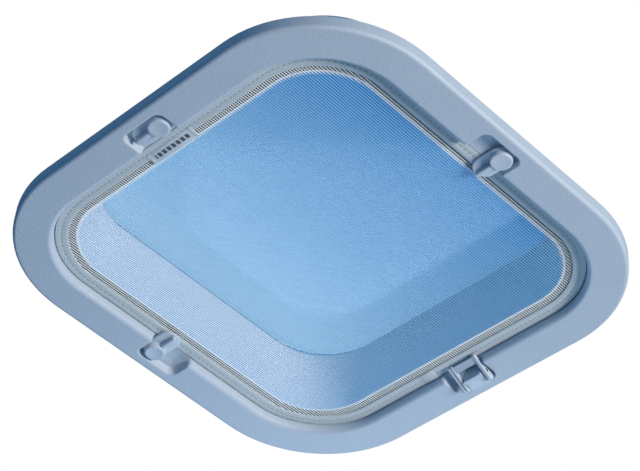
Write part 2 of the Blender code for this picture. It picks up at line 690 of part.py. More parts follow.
def build_trim(plastic, rubber, steel):
    """Build the trim with its pockets, the ledge seal and the trim screws."""
    section = [(TRIM_HALF, TRIM_OUTER_RADIUS, CEILING)]
    for step in range(4):
        angle = step * math.pi / 6
        inset = TRIM_OUTER_FILLET * (1 - math.cos(angle))
        height = TRIM_FACE + TRIM_OUTER_FILLET * (1 - math.sin(angle))
        section.append((TRIM_HALF - inset, TRIM_OUTER_RADIUS - inset, height))
    for step in range(4):
        angle = step * math.pi / 6
        half = RECESS_HALF + TRIM_LIP_FILLET * (1 - math.sin(angle))
        height = TRIM_FACE + TRIM_LIP_FILLET * (1 - math.cos(angle))
        section.append((half, corner_radius(half), height))
    section += [
        (RECESS_HALF, corner_radius(RECESS_HALF), LEDGE_FACE),
        (LEDGE_INNER, corner_radius(LEDGE_INNER), LEDGE_FACE),
        (LEDGE_INNER, corner_radius(LEDGE_INNER), CEILING),
    ]
    bm = bmesh.new()
    add_ring(bm, section)
    trim = make_object("trim_ring", bm, plastic)

    groove = bmesh.new()
    groove_low = TRIM_FACE + TRIM_WALL
    inner = RECESS_HALF + TRIM_WALL
    outer = TRIM_HALF - TRIM_WALL
    outer_radius = TRIM_OUTER_RADIUS - TRIM_WALL
    edge = TRIM_WALL / 3
    add_ring(
        groove,
        [
            (inner, corner_radius(inner), CEILING + CUT_EXTRA),
            (outer, outer_radius, CEILING + CUT_EXTRA),
            (outer, outer_radius, groove_low + edge),
            (outer - edge, outer_radius - edge, groove_low),
            (inner + edge, corner_radius(inner + edge), groove_low),
            (inner, corner_radius(inner), groove_low + edge),
        ],
    )
    groove_cutter = make_cutter("trim_groove", groove)
    blocks = bmesh.new()
    wall = TRIM_WALL * 0.8
    for turn in POCKET_TURNS:
        corners = (
            (-POCKET_ARM_SIDE - wall, -TRIM_HALF - CUT_EXTRA),
            (POCKET_KNOB_SIDE + wall, -TRIM_HALF - CUT_EXTRA),
            (POCKET_KNOB_SIDE + wall, -RECESS_HALF),
            (-POCKET_ARM_SIDE - wall, -RECESS_HALF),
        )
        outline = [side_place(x, y, turn) for x, y in corners]
        add_prism(blocks, outline, TRIM_FACE - CUT_EXTRA, CEILING + 2 * CUT_EXTRA)
    combine(groove_cutter, make_cutter("pocket_blocks", blocks), "DIFFERENCE")
    combine(trim, groove_cutter, "DIFFERENCE")

    pockets = bmesh.new()
    for turn in POCKET_TURNS:
        add_prism(pockets, pocket_outline(turn), TRIM_FACE - CUT_EXTRA, POCKET_FLOOR)
    combine(trim, make_cutter("pockets", pockets), "DIFFERENCE")

    screw_half = RECESS_HALF - TRIM_SCREW_HEAD_RADIUS - 0.0005
    holes = bmesh.new()
    for x, y in bolt_places(screw_half, TRIM_SCREW_OFFSET):
        add_post(holes, x, y, TRIM_SCREW_RADIUS + HOLE_CLEARANCE, TRIM_FACE, CEILING + CUT_EXTRA, 12)
    fixings = [side_place(CATCH_OFFSET, -CATCH_RADIUS, side[1]) for side in CATCH_SIDES]
    fixings.append(clip_screw_place())
    sinks = bmesh.new()
    sink_low = CEILING - PIVOT_HEAD_THICKNESS - 2 * TOUCH_GAP
    for x, y in fixings:
        add_post(holes, x, y, PIVOT_RADIUS + HOLE_CLEARANCE, TRIM_FACE, CEILING + CUT_EXTRA)
        add_post(sinks, x, y, PIVOT_HEAD_RADIUS + HOLE_CLEARANCE, sink_low, CEILING + CUT_EXTRA)
    combine(trim, make_cutter("trim_holes", holes), "DIFFERENCE")
    combine(trim, make_cutter("pivot_sinks", sinks), "DIFFERENCE")

    head = LEDGE_FACE - TOUCH_GAP
    profile = [
        (0.0, head - TRIM_SCREW_HEAD_HEIGHT),
        (TRIM_SCREW_HEAD_RADIUS * 0.7, head - TRIM_SCREW_HEAD_HEIGHT),
        (TRIM_SCREW_HEAD_RADIUS, head),
        (TRIM_SCREW_RADIUS, head),
        (TRIM_SCREW_RADIUS, head + TRIM_SCREW_LENGTH * 0.8),
        (0.0, head + TRIM_SCREW_LENGTH),
    ]
    for number, (x, y) in enumerate(bolt_places(screw_half, TRIM_SCREW_OFFSET), 1):
        make_turned(f"trim_screw_{number}", profile, steel, x, y, steps=10)

    seal_outer = LEDGE_INNER - TOUCH_GAP
    make_ring("ledge_seal", box_section(OPENING_HALF + TOUCH_GAP, seal_outer, LEDGE_FACE, CEILING), rubber)


def build_screen(fabric, steel):
    """Build the insect screen: mesh, border tape, frame wire and the label sewn flush with the tape."""
    mesh_half = TAPE_OUTER - MESH_SETBACK
    bm = bmesh.new()
    add_prism(bm, rounded_square(mesh_half, corner_radius(mesh_half)), MESH_LOW, MESH_HIGH)
    make_object("screen_mesh", bm, fabric)
    tape = make_ring("screen_tape", box_section(TAPE_INNER, TAPE_OUTER, TAPE_FACE, TAPE_BACK), fabric)
    wire_half = mesh_half + TOUCH_GAP + WIRE_RADIUS
    wire_height = TAPE_BACK + TOUCH_GAP + WIRE_RADIUS
    section = []
    for step in range(8):
        angle = step * math.pi / 4
        half = wire_half + WIRE_RADIUS * math.cos(angle)
        section.append((half, wire_height + WIRE_RADIUS * math.sin(angle)))
    make_ring("screen_wire", section, steel)

    label_outer = -(TAPE_INNER + LABEL_OVERLAP)
    for grow in (0.0, TOUCH_GAP):
        outline = rounded_box(
            label_outer - grow,
            label_outer + LABEL_WIDTH + grow,
            LABEL_INSET - LABEL_LENGTH / 2 - grow,
            LABEL_INSET + LABEL_LENGTH / 2 + grow,
            TAPE_THICKNESS / 2,
            2,
        )
        bm = bmesh.new()
        add_prism(bm, outline, TAPE_FACE - grow, TAPE_BACK + grow)
        if grow:
            combine(tape, make_cutter("label_notch", bm), "DIFFERENCE")
        else:
            make_object("screen_label", bm, fabric)


def arm_outline(side_steps=10):
    """Return the outline of a catch arm that points along +X from its pivot."""
    points = []
    centre = ARM_REACH - ARM_HALF_WIDTH
    for start, middle in ((math.pi / 2, 0.0), (-math.pi / 2, centre)):
        for step in range(side_steps + 1):
            angle = start + step * math.pi / side_steps
            points.append((middle + ARM_HALF_WIDTH * math.cos(angle), ARM_HALF_WIDTH * math.sin(angle)))
    return points


def fit_pivot(item, name, x, y, steel):
    """Bore a pocket fitting from behind and put its headed pivot through the trim's floor."""
    bore_low = ARM_BACK - PIVOT_DEPTH
    bore = bmesh.new()
    add_post(bore, x, y, PIVOT_RADIUS + RUN_CLEARANCE, bore_low, CEILING)
    combine(item, make_cutter(f"{name}_bore", bore), "DIFFERENCE")
    head_top = CEILING - TOUCH_GAP
    head_low = head_top - PIVOT_HEAD_THICKNESS
    profile = [
        (0.0, bore_low + TOUCH_GAP),
        (PIVOT_RADIUS, bore_low + TOUCH_GAP),
        (PIVOT_RADIUS, head_low),
        (PIVOT_HEAD_RADIUS, head_low),
        (PIVOT_HEAD_RADIUS, head_top),
        (0.0, head_top),
    ]
    make_turned(name, profile, steel, x, y)


def build_catches(plastic, steel):
    """Build the three turn catches and the pivots that hold them."""
    for label, turn, arm_turn in CATCH_SIDES:
        x, y = side_place(CATCH_OFFSET, -CATCH_RADIUS, turn)
        place = Matrix.Translation((x, y, 0.0)) @ Matrix.Rotation(math.radians(arm_turn), 4, "Z")
        pivot = (x, y, ARM_BACK)

        bm = bmesh.new()
        verts = add_prism(bm, arm_outline(), ARM_FACE, ARM_BACK)
        bmesh.ops.transform(bm, matrix=place, verts=verts)
        catch = make_object(f"catch_{label}", bm, plastic, pivot)

        knob = bmesh.new()
        edge = KNOB_EDGE
        add_turned(
            knob,
            [
                (0.0, KNOB_TOP),
                (KNOB_RADIUS - edge, KNOB_TOP),
                (KNOB_RADIUS - edge * 0.3, KNOB_TOP + edge * 0.3),
                (KNOB_RADIUS, KNOB_TOP + edge),
                (KNOB_RADIUS, ARM_FACE + ARM_THICKNESS * 0.45),
                (0.0, ARM_FACE + ARM_THICKNESS * 0.45),
            ],
            place,
            24,
        )
        combine(catch, make_cutter(f"knob_{label}", knob), "UNION")
        fin = bmesh.new()
        fin_ends = (KNOB_RADIUS * 0.7, ARM_REACH - KNOB_EDGE)
        fin_outline = rounded_box(*fin_ends, -FIN_WIDTH / 2, FIN_WIDTH / 2, FIN_WIDTH * 0.4, 3)
        verts = add_prism(fin, fin_outline, KNOB_TOP + FIN_DROP, ARM_FACE + ARM_THICKNESS * 0.35)
        bmesh.ops.transform(fin, matrix=place, verts=verts)
        combine(catch, make_cutter(f"fin_{label}", fin), "UNION")
        fit_pivot(catch, f"catch_pivot_{label}", x, y, steel)


def cheek_outline(steps=8):
    """Return the side outline (x, z) of a clip cheek: a tear-drop hull of two circles."""
    nose = Vector((RECESS_HALF + CLIP_NOSE_SETBACK, CEILING - CLIP_NOSE_DROP))
    end = Vector((RECESS_HALF + CLIP_END_SETBACK, CEILING - CLIP_END_DROP))
    along = end - nose
    slope = math.atan2(along.y, along.x)
    swing = math.acos((CHEEK_NOSE_RADIUS - CHEEK_END_RADIUS) / along.length)
    points = []
    for step in range(steps + 1):
        angle = slope - swing + 2 * swing * step / steps
        points.append(end + CHEEK_END_RADIUS * Vector((math.cos(angle), math.sin(angle))))
    for step in range(steps + 1):
        angle = slope + swing + 2 * (math.pi - swing) * step / steps
        points.append(nose + CHEEK_NOSE_RADIUS * Vector((math.cos(angle), math.sin(angle))))
    return points


def add_y_prism(bm, outline, y_low, y_high):
    """Add a prism along Y from an (x, z) outline."""
    face = bm.faces.new([bm.verts.new((x, y_low, z)) for x, z in outline])
    grown = bmesh.ops.extrude_face_region(bm, geom=[face])["geom"]
    top = [part for part in grown if isinstance(part, bmesh.types.BMVert)]
    bmesh.ops.translate(bm, verts=top, vec=(0.0, y_high - y_low, 0.0))


def clip_screw_place():
    """Return the place of the screw that holds the clip's block, clear of the clip's pin."""
    return RECESS_HALF + CLIP_BLOCK_END - CLIP_SCREW_EDGE, CLIP_CENTRE


def clip_point(setback):
    """Return the point (x, z) on the cheeks' centre line at a setback from the recess wall."""
    share = (setback - CLIP_NOSE_SETBACK) / (CLIP_END_SETBACK - CLIP_NOSE_SETBACK)
    drop = CLIP_NOSE_DROP + share * (CLIP_END_DROP - CLIP_NOSE_DROP)
    return RECESS_HALF + setback, CEILING - drop


def build_clip(plastic, steel):
    """Build the rocking clip: fixed block, pin, screw and the bail with its two cheeks."""
    pivot_x, pivot_z = clip_point(CLIP_PIVOT_SETBACK)
    low = CLIP_CENTRE - CLIP_WIDTH / 2
    high = CLIP_CENTRE + CLIP_WIDTH / 2
    pivot = (pivot_x, CLIP_CENTRE, pivot_z)

    bm = bmesh.new()
    add_y_prism(bm, cheek_outline(), low, low + CHEEK_THICKNESS)
    bail = make_object("clip_bail", bm, plastic, pivot)
    second = bmesh.new()
    add_y_prism(second, cheek_outline(), high - CHEEK_THICKNESS, high)
    combine(bail, make_cutter("second_cheek", second), "UNION")
    bar = bmesh.new()
    nose_x, nose_z = clip_point(CLIP_NOSE_SETBACK)
    bar_x, bar_z = clip_point(CLIP_NOSE_SETBACK + CLIP_BAR_WIDTH)
    thick = CHEEK_NOSE_RADIUS * 0.85
    bar_outline = [
        (nose_x, nose_z + thick),
        (nose_x, nose_z - thick),
        (bar_x, bar_z - thick),
        (bar_x, bar_z + thick),
    ]
    add_y_prism(bar, bar_outline, low + CHEEK_THICKNESS / 4, high - CHEEK_THICKNESS / 4)
    combine(bail, make_cutter("clip_bar", bar), "UNION")
    bore = bmesh.new()
    add_bar(bore, pivot_x, CLIP_CENTRE, pivot_z, CLIP_PIN_RADIUS + RUN_CLEARANCE, 2 * CLIP_WIDTH)
    bore_cutter = make_cutter("clip_bore", bore)
    combine(bail, bore_cutter, "DIFFERENCE")

    block = bmesh.new()
    start = RECESS_HALF + CLIP_BLOCK_START
    end = RECESS_HALF + CLIP_BLOCK_END
    half_width = CLIP_BLOCK_WIDTH / 2
    block_low = CEILING - CLIP_BLOCK_DROP
    sides = (CLIP_CENTRE - half_width, CLIP_CENTRE + half_width)
    outline = rounded_box(start, end, *sides, CLIP_BLOCK_EDGE, 3)
    add_prism(block, outline, block_low, ARM_BACK)
    body = make_object("clip_block", block, plastic)
    combine(body, bore_cutter, "DIFFERENCE")
    fit_pivot(body, "clip_screw", *clip_screw_place(), steel)

    pin = bmesh.new()
    add_bar(pin, pivot_x, CLIP_CENTRE, pivot_z, CLIP_PIN_RADIUS, CLIP_WIDTH)
    make_object("clip_pin", pin, steel)


def main():
    """Build every piece of the port."""
    clear_scene()
    metal = make_material("anodised_aluminium", (0.62, 0.64, 0.66), 0.38, 1.0)
    steel = make_material("stainless_steel", (0.70, 0.70, 0.70), 0.25, 1.0)
    rubber = make_material("black_rubber", (0.03, 0.035, 0.04), 0.70)
    white = make_material("grained_trim_plastic", (0.62, 0.68, 0.78), 0.48)
    smooth = make_material("smooth_plastic", (0.66, 0.72, 0.80), 0.35)
    acrylic = make_material("blue_acrylic", (0.05, 0.30, 0.62), 0.08, 0.0, 0.85)
    fabric = make_material("screen_fabric", (0.66, 0.72, 0.76), 0.85)
    black = make_material("black_plastic", (0.04, 0.045, 0.05), 0.45)

    build_frame(metal, rubber, white, steel)
    build_lid(metal, acrylic, rubber)
    build_hinges(metal, steel)
    build_handles(black, steel)
    build_trim(white, rubber, steel)
    build_screen(fabric, steel)
    build_catches(smooth, steel)
    build_clip(smooth, steel)


main()
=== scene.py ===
"""Looks of a square opening deck port with an inside trim, an insect screen and its catches.

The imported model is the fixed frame. The pieces that show are rebuilt here with finer shapes
and given finishes. All sizes are in metres. +Z is up and out of the boat, and the cabin is -Z.
"""

from __future__ import annotations

import logging
import math
from dataclasses import dataclass
from enum import Enum
from typing import Callable, Sequence

import bmesh
import bpy
from mathutils import Matrix, Vector


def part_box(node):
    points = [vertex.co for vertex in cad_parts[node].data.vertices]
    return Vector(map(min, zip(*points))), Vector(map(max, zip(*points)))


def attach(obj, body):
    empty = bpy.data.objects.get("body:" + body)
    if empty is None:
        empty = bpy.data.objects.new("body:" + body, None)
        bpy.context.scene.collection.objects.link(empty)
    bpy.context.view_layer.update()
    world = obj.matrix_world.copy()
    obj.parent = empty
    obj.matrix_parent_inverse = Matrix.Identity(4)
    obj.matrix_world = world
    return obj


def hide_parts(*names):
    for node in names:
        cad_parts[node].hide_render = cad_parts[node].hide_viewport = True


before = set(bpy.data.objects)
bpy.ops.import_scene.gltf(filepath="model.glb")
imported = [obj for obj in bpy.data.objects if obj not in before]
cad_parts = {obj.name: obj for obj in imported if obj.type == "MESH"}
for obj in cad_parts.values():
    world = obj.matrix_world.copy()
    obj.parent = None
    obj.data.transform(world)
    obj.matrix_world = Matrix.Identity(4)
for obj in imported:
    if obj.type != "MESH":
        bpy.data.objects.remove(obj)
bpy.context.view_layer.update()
LOG = logging.getLogger("deck_port")

BMesh = bmesh.types.BMesh
Section = list[tuple[float, float, float]]
Point = tuple[float, float]
Colour = tuple[float, float, float]

CORNER_STEPS = 24
WELD = 1e-7
BOOLEAN_WELD = 2e-6


class Body(Enum):
    """The bodies that pieces ride on."""

    BASE = "base"
    LID = "lid"
    HANDLE_LEFT = "handle_left"
    HANDLE_RIGHT = "handle_right"
    CATCH_NEAR = "catch_near"
    CATCH_LEFT = "catch_left"
    CATCH_FAR = "catch_far"
    CLIP = "clip_bail"


class Slot(Enum):
    """Names of material slots; each piece is passed one, which is not used."""

    ALUMINIUM = "anodised_aluminium"
    STEEL = "stainless_steel"
    RUBBER = "black_rubber"
    TRIM = "grained_trim_plastic"
    LINER = "liner_plastic"
    SMOOTH = "smooth_plastic"
    ACRYLIC = "blue_acrylic"
    MESH = "screen_mesh_fabric"
    TAPE = "screen_tape_fabric"
    BLACK = "black_plastic"


@dataclass(frozen=True)
class Port:
    """Sizes that several sub-assemblies share."""

    opening_half: float = 0.127
    opening_radius: float = 0.044
    ceiling: float = -0.030
    trim_face: float = -0.040
    recess_half: float = 0.1426
    trim_half: float = 0.170
    trim_radius: float = 0.088
    ledge_face: float = -0.031
    ledge_inner: float = 0.1360
    pocket_floor: float = -0.0338
    well_top_half: float = 0.120
    well_top_radius: float = 0.043
    lens_low: float = 0.0140
    lens_top: float = 0.0220
    lens_half: float = 0.1262
    lid_low: float = 0.0113
    gap: float = 0.0003

    def corner(self, half: float) -> float:
        """Return the corner radius of a square concentric with the opening."""
        return self.opening_radius + half - self.opening_half

    def lid_corner(self, half: float) -> float:
        """Return the corner radius of a square concentric with the well's upper end."""
        return self.well_top_radius + half - self.well_top_half

    def squares(self, profile: Sequence[Point]) -> Section:
        """Return section lines concentric with the opening."""
        return [(half, self.corner(half), height) for half, height in profile]

    def lid_squares(self, profile: Sequence[Point]) -> Section:
        """Return section lines concentric with the well's upper end."""
        return [(half, self.lid_corner(half), height) for half, height in profile]

    def well(self, height: float, offset: float) -> tuple[float, float, float]:
        """Return the well's outline at a height, grown by an offset.

        Args:
            height: Height in the frame.
            offset: How far outside the well's inner face.

        Returns:
            Half-width, corner radius and height.
        """
        share = (height - self.ceiling) / (self.lens_low - self.ceiling)
        half = self.opening_half + (self.well_top_half - self.opening_half) * share
        radius = self.opening_radius + (self.well_top_radius - self.opening_radius) * share
        return half + offset, radius + offset, height


PORT = Port()


# Shader building


class Value:
    """An output socket whose arithmetic adds Math nodes."""

    def __init__(self, graph: Graph, socket: bpy.types.NodeSocket) -> None:
        """Keep the graph and the socket."""
        self.graph = graph
        self.socket = socket

    def __add__(self, other: Value | float) -> Value:
        """Add."""
        return self.graph.maths("ADD", self, other)

    def __sub__(self, other: Value | float) -> Value:
        """Subtract."""
        return self.graph.maths("SUBTRACT", self, other)

    def __rsub__(self, other: float) -> Value:
        """Subtract from a number."""
        return self.graph.maths("SUBTRACT", other, self)

    def __mul__(self, other: Value | float) -> Value:
        """Multiply."""
        return self.graph.maths("MULTIPLY", self, other)

    def __truediv__(self, other: Value | float) -> Value:
        """Divide."""
        return self.graph.maths("DIVIDE", self, other)

    __radd__ = __add__
    __rmul__ = __mul__

    def absolute(self) -> Value:
        """Return the size without its sign."""
        return self.graph.maths("ABSOLUTE", self, 0.0)

    def sine(self) -> Value:
        """Return the sine."""
        return self.graph.maths("SINE", self, 0.0)

    def below(self, limit: float) -> Value:
        """Return 1 where the value is below a limit."""
        return self.graph.maths("LESS_THAN", self, limit)


class Graph:
    """The node tree of one material."""

    def __init__(self, name: str) -> None:
        """Start an empty material with its output and shader."""
        self.material = bpy.data.materials.new(name)
        self.material.use_nodes = True
        self.tree = self.material.node_tree
        self.tree.nodes.clear()
        self.output = self.tree.nodes.new("ShaderNodeOutputMaterial")
        self.shader = self.tree.nodes.new("ShaderNodeBsdfPrincipled")
        self.tree.links.new(self.shader.outputs[0], self.output.inputs[0])

    def node(self, kind: str, settings: dict | None = None, inputs: dict | None = None) -> bpy.types.Node:
        """Add a node.

        Args:
            kind: The node's type.
            settings: Properties, which are set first.
            inputs: Values or links of its sockets, by name or number.

        Returns:
            The node.
        """
        made = self.tree.nodes.new(kind)
        for name, value in (settings or {}).items():
            setattr(made, name, value)
        for socket, value in (inputs or {}).items():
            self.feed(made.inputs[socket], value)
        return made

    def feed(self, socket: bpy.types.NodeSocket, value: Value | float | Sequence[float]) -> None:
        """Link a value to a socket, or set the socket to it."""
        if isinstance(value, Value):
            self.tree.links.new(value.socket, socket)
        else:
            socket.default_value = value

    def out(self, node: bpy.types.Node, name: str | int = 0) -> Value:
        """Return one of a node's outputs."""
        return Value(self, node.outputs[name])

    def maths(self, operation: str, a: Value | float, b: Value | float) -> Value:
        """Add a Math node and return its result."""
        return self.out(self.node("ShaderNodeMath", {"operation": operation}, {0: a, 1: b}))

    def place(self) -> Value:
        """Return the place on the piece, in metres."""
        return self.out(self.node("ShaderNodeTexCoord"), "Object")

    def axes(self) -> list[Value]:
        """Return the place's x, y and z."""
        split = self.node("ShaderNodeSeparateXYZ", None, {0: self.place()})
        return [self.out(split, index) for index in range(3)]

    def stretched(self, scale: tuple[float, float, float]) -> Value:
        """Return the place scaled differently along each axis."""
        mapping = self.node("ShaderNodeMapping", None, {"Vector": self.place(), "Scale": scale})
        return self.out(mapping)

    def noise(self, size: float, detail: float = 2.0, vector: Value | None = None) -> Value:
        """Return noise whose features are about a size in metres."""
        inputs = {"Vector": vector or self.place(), "Scale": 1.0 / size, "Detail": detail}
        return self.out(self.node("ShaderNodeTexNoise", None, inputs), 0)

    def pebble(self, size: float) -> Value:
        """Return the distance to the nearest of scattered points about a size apart."""
        inputs = {"Vector": self.place(), "Scale": 1.0 / size}
        return self.out(self.node("ShaderNodeTexVoronoi", {"feature": "F1"}, inputs), "Distance")

    def blend(self, share: Value | float, first: Colour | Value, second: Colour | Value) -> Value:
        """Return a mix of two colours."""
        node = self.node("ShaderNodeMix", {"data_type": "RGBA", "clamp_factor": True})
        self.feed(node.inputs[0], share)
        self.feed(node.inputs[6], first if isinstance(first, Value) else (*first, 1.0))
        self.feed(node.inputs[7], second if isinstance(second, Value) else (*second, 1.0))
        return Value(self, node.outputs[2])

    def bump(self, height: Value, depth: float, strength: float = 1.0) -> None:
        """Feed the shader's normal from a height of a depth in metres."""
        node = self.node("ShaderNodeBump", None, {"Height": height, "Distance": depth, "Strength": strength})
        self.tree.links.new(node.outputs[0], self.shader.inputs["Normal"])

    def surface(self, **values: Value | float | Sequence[float]) -> None:
        """Set or feed the shader's sockets, named with underscores for spaces."""
        for name, value in values.items():
            self.feed(self.shader.inputs[name.replace("_", " ")], value)


@dataclass(frozen=True)
class Plastic:
    """A moulded plastic with a fine grain."""

    name: str
    colour: Colour
    roughness: float
    grain_size: float
    grain_depth: float

    def material(self) -> bpy.types.Material:
        """Return the finish as a material."""
        graph = Graph(self.name)
        cloud = graph.noise(0.030, 3.0)
        fine = graph.noise(self.grain_size * 1.7, 2.0)
        pebble = graph.pebble(self.grain_size)
        darker = tuple(channel * 0.90 for channel in self.colour)
        base = graph.blend(cloud * 0.7 + pebble * 0.35, self.colour, darker)
        graph.surface(Base_Color=base, Roughness=fine * 0.16 + (self.roughness - 0.08))
        graph.surface(Specular_IOR_Level=0.45)
        graph.bump(pebble * 0.7 + fine * 0.6, self.grain_depth)
        return graph.material


@dataclass(frozen=True)
class Metal:
    """A satin or brushed metal."""

    name: str
    colour: Colour
    roughness: float
    brush: tuple[float, float, float]

    def material(self) -> bpy.types.Material:
        """Return the finish as a material."""
        graph = Graph(self.name)
        lines = graph.noise(0.0006, 2.0, graph.stretched(self.brush))
        cloud = graph.noise(0.020, 2.0)
        darker = tuple(channel * 0.82 for channel in self.colour)
        graph.surface(Base_Color=graph.blend(cloud * 0.8, self.colour, darker))
        graph.surface(Roughness=lines * 0.22 + (self.roughness - 0.09), Metallic=1.0)
        graph.bump(lines, 0.00002)
        return graph.material


@dataclass(frozen=True)
class Rubber:
    """A matt black rubber."""

    name: str
    colour: Colour

    def material(self) -> bpy.types.Material:
        """Return the finish as a material."""
        graph = Graph(self.name)
        dust = graph.noise(0.004, 4.0)
        lighter = tuple(channel * 2.2 + 0.01 for channel in self.colour)
        graph.surface(Base_Color=graph.blend(dust * dust, self.colour, lighter))
        graph.surface(Roughness=dust * 0.25 + 0.58)
        graph.bump(graph.noise(0.0007, 3.0), 0.00006)
        return graph.material


@dataclass(frozen=True)
class Acrylic:
    """A polished tinted acrylic with painted shade and light: darker towards -y, where the well's near wall
    shades it, and lighter towards +y, where the well is open to the cabin's light.
    """

    name: str
    shaded_blue: Colour
    light: Colour
    transmission: float

    def material(self) -> bpy.types.Material:
        """Return the finish as a material."""
        graph = Graph(self.name)
        x, y, _ = graph.axes()
        cloud = graph.noise(0.110, 1.0)
        # Painted shade and light: the blue darkens towards -y, where the near wall shades the lens, and
        # lightens towards +y.
        share = (y * 4.4 + x * 0.1) + cloud * 0.2 + 0.40
        graph.surface(Base_Color=graph.blend(share, self.shaded_blue, self.light))
        graph.surface(Roughness=graph.noise(0.015, 2.0) * 0.05 + 0.10)
        graph.surface(Transmission_Weight=self.transmission, IOR=1.49)
        graph.surface(Coat_Weight=0.3, Coat_Roughness=0.05)
        return graph.material


@dataclass(frozen=True)
class Weave:
    """A close-woven cloth whose threads run along X and Y."""

    name: str
    colour: Colour
    pitch: float
    depth: float

    def graph(self) -> Graph:
        """Return the cloth's node tree."""
        graph = Graph(self.name)
        x, y, _ = graph.axes()
        turn = 2.0 * math.pi / self.pitch
        ribs = (x * turn).sine() * (y * turn).sine()
        fuzz = graph.noise(self.pitch * 0.6, 3.0)
        darker = tuple(channel * 0.72 for channel in self.colour)
        # Painted shade: darker in the dips of the weave's bump, between the threads, with random fuzz tone on
        # top.
        share = 0.35 - ribs * 0.35 + fuzz * 0.25
        graph.surface(Base_Color=graph.blend(share, self.colour, darker))
        graph.surface(Roughness=fuzz * 0.1 + 0.80, Sheen_Weight=0.25)
        graph.bump(ribs + fuzz * 0.6, self.depth)
        return graph

    def material(self) -> bpy.types.Material:
        """Return the finish as a material."""
        return self.graph().material


@dataclass(frozen=True)
class Thread:
    """A coated yarn, partly see-through when it is fine."""

    name: str
    colour: Colour
    alpha: float

    def material(self) -> bpy.types.Material:
        """Return the finish as a material."""
        graph = Graph(self.name)
        slub = graph.noise(0.003, 3.0)
        darker = tuple(channel * 0.85 for channel in self.colour)
        graph.surface(Base_Color=graph.blend(slub, self.colour, darker))
        graph.surface(Roughness=slub * 0.15 + 0.45, Alpha=self.alpha)
        graph.bump(graph.noise(0.0002, 2.0), 0.00003)
        return graph.material


@dataclass(frozen=True)
class MeshYarn:
    """A fine translucent yarn, white and solid by the border, with painted blue light from the lens on it
    over the lens.
    """

    name: str
    colour: Colour
    tinted: Colour
    alpha: float
    open_half: float
    open_radius: float
    border_half: float

    def material(self) -> bpy.types.Material:
        """Return the finish as a material."""
        graph = Graph(self.name)
        x, y, _ = graph.axes()
        centre = self.open_half - self.open_radius
        past = [graph.maths("MAXIMUM", axis.absolute() - centre, 0.0) for axis in (x, y)]
        outer = graph.maths("SQRT", past[0] * past[0] + past[1] * past[1], 0.0) + centre
        border = graph.maths("MINIMUM", (outer - self.open_half) / (self.border_half - self.open_half), 1.0)
        border = graph.maths("MAXIMUM", border, 0.0)
        slub = graph.noise(0.003, 3.0)
        # Painted light: over the lens the yarn takes the blue light that comes through the lens; by the
        # border it keeps its own white.
        base = graph.blend(border, self.tinted, self.colour)
        graph.surface(Base_Color=base, Roughness=slub * 0.15 + 0.45)
        graph.surface(Alpha=border * (1.0 - self.alpha) + self.alpha)
        graph.bump(graph.noise(0.0002, 2.0), 0.00003)
        return graph.material


@dataclass(frozen=True)
class LabelCloth:
    """A woven label with a plain stripe along it."""

    name: str
    colour: Colour
    ink: Colour
    centre: Point
    stripe_half: Point

    def material(self) -> bpy.types.Material:
        """Return the finish as a material."""
        weave = Weave(self.name, self.colour, 0.0005, 0.00004)
        graph = weave.graph()
        x, y, _ = graph.axes()
        across = (x - self.centre[0]).absolute().below(self.stripe_half[0])
        along = (y - self.centre[1]).absolute().below(self.stripe_half[1])
        gaps = ((y - self.centre[1]) * (2.0 * math.pi / 0.0042)).sine().below(0.55)
        plain = Value(graph, graph.shader.inputs["Base Color"].links[0].from_socket)
        graph.surface(Base_Color=graph.blend(across * along * gaps * 0.92, plain, self.ink))
        return graph.material


class Finishes:
    """Every finish, each made once."""

    catalogue = {
        "trim": Plastic("trim_grain", (0.57, 0.625, 0.70), 0.52, 0.00085, 0.00016),
        "smooth": Plastic("smooth_moulding", (0.61, 0.66, 0.73), 0.36, 0.0006, 0.00001),
        "liner": Plastic("liner_moulding", (0.76, 0.76, 0.80), 0.50, 0.0012, 0.00003),
        "black": Plastic("black_moulding", (0.035, 0.038, 0.042), 0.42, 0.0009, 0.00003),
        "aluminium": Metal("satin_aluminium", (0.72, 0.73, 0.75), 0.34, (1.0, 1.0, 0.1)),
        "steel": Metal("brushed_steel", (0.66, 0.66, 0.67), 0.26, (0.2, 1.0, 1.0)),
        "rubber": Rubber("black_rubber", (0.012, 0.013, 0.016)),
        "seal": Rubber("ledge_rubber", (0.022, 0.026, 0.031)),
        # The lens's two blues are painted shade and light across it.
        "acrylic": Acrylic("tinted_acrylic", (0.0, 0.115, 0.36), (0.42, 0.58, 0.72), 0.80),
        "tape": Weave("border_tape", (0.72, 0.76, 0.76), 0.0009, 0.00007),
        # The mesh yarn's blue over the lens is painted light from the lens.
        "thread": MeshYarn("mesh_yarn", (0.84, 0.87, 0.86), (0.17, 0.48, 0.74), 0.70, 0.1255, 0.0425, 0.1272),
        "stitch": Thread("stitch_yarn", (0.34, 0.37, 0.42), 1.0),
        "label": LabelCloth(
            "label_cloth", (0.80, 0.82, 0.84), (0.02, 0.03, 0.07), (-0.1326, 0.0015), (0.0017, 0.0155)
        ),
    }

    def __init__(self) -> None:
        """Start with nothing made."""
        self.made: dict[str, bpy.types.Material] = {}

    def get(self, name: str) -> bpy.types.Material:
        """Return a finish's material."""
        if name not in self.made:
            self.made[name] = self.catalogue[name].material()
        return self.made[name]


FINISHES = Finishes()


# Mesh building


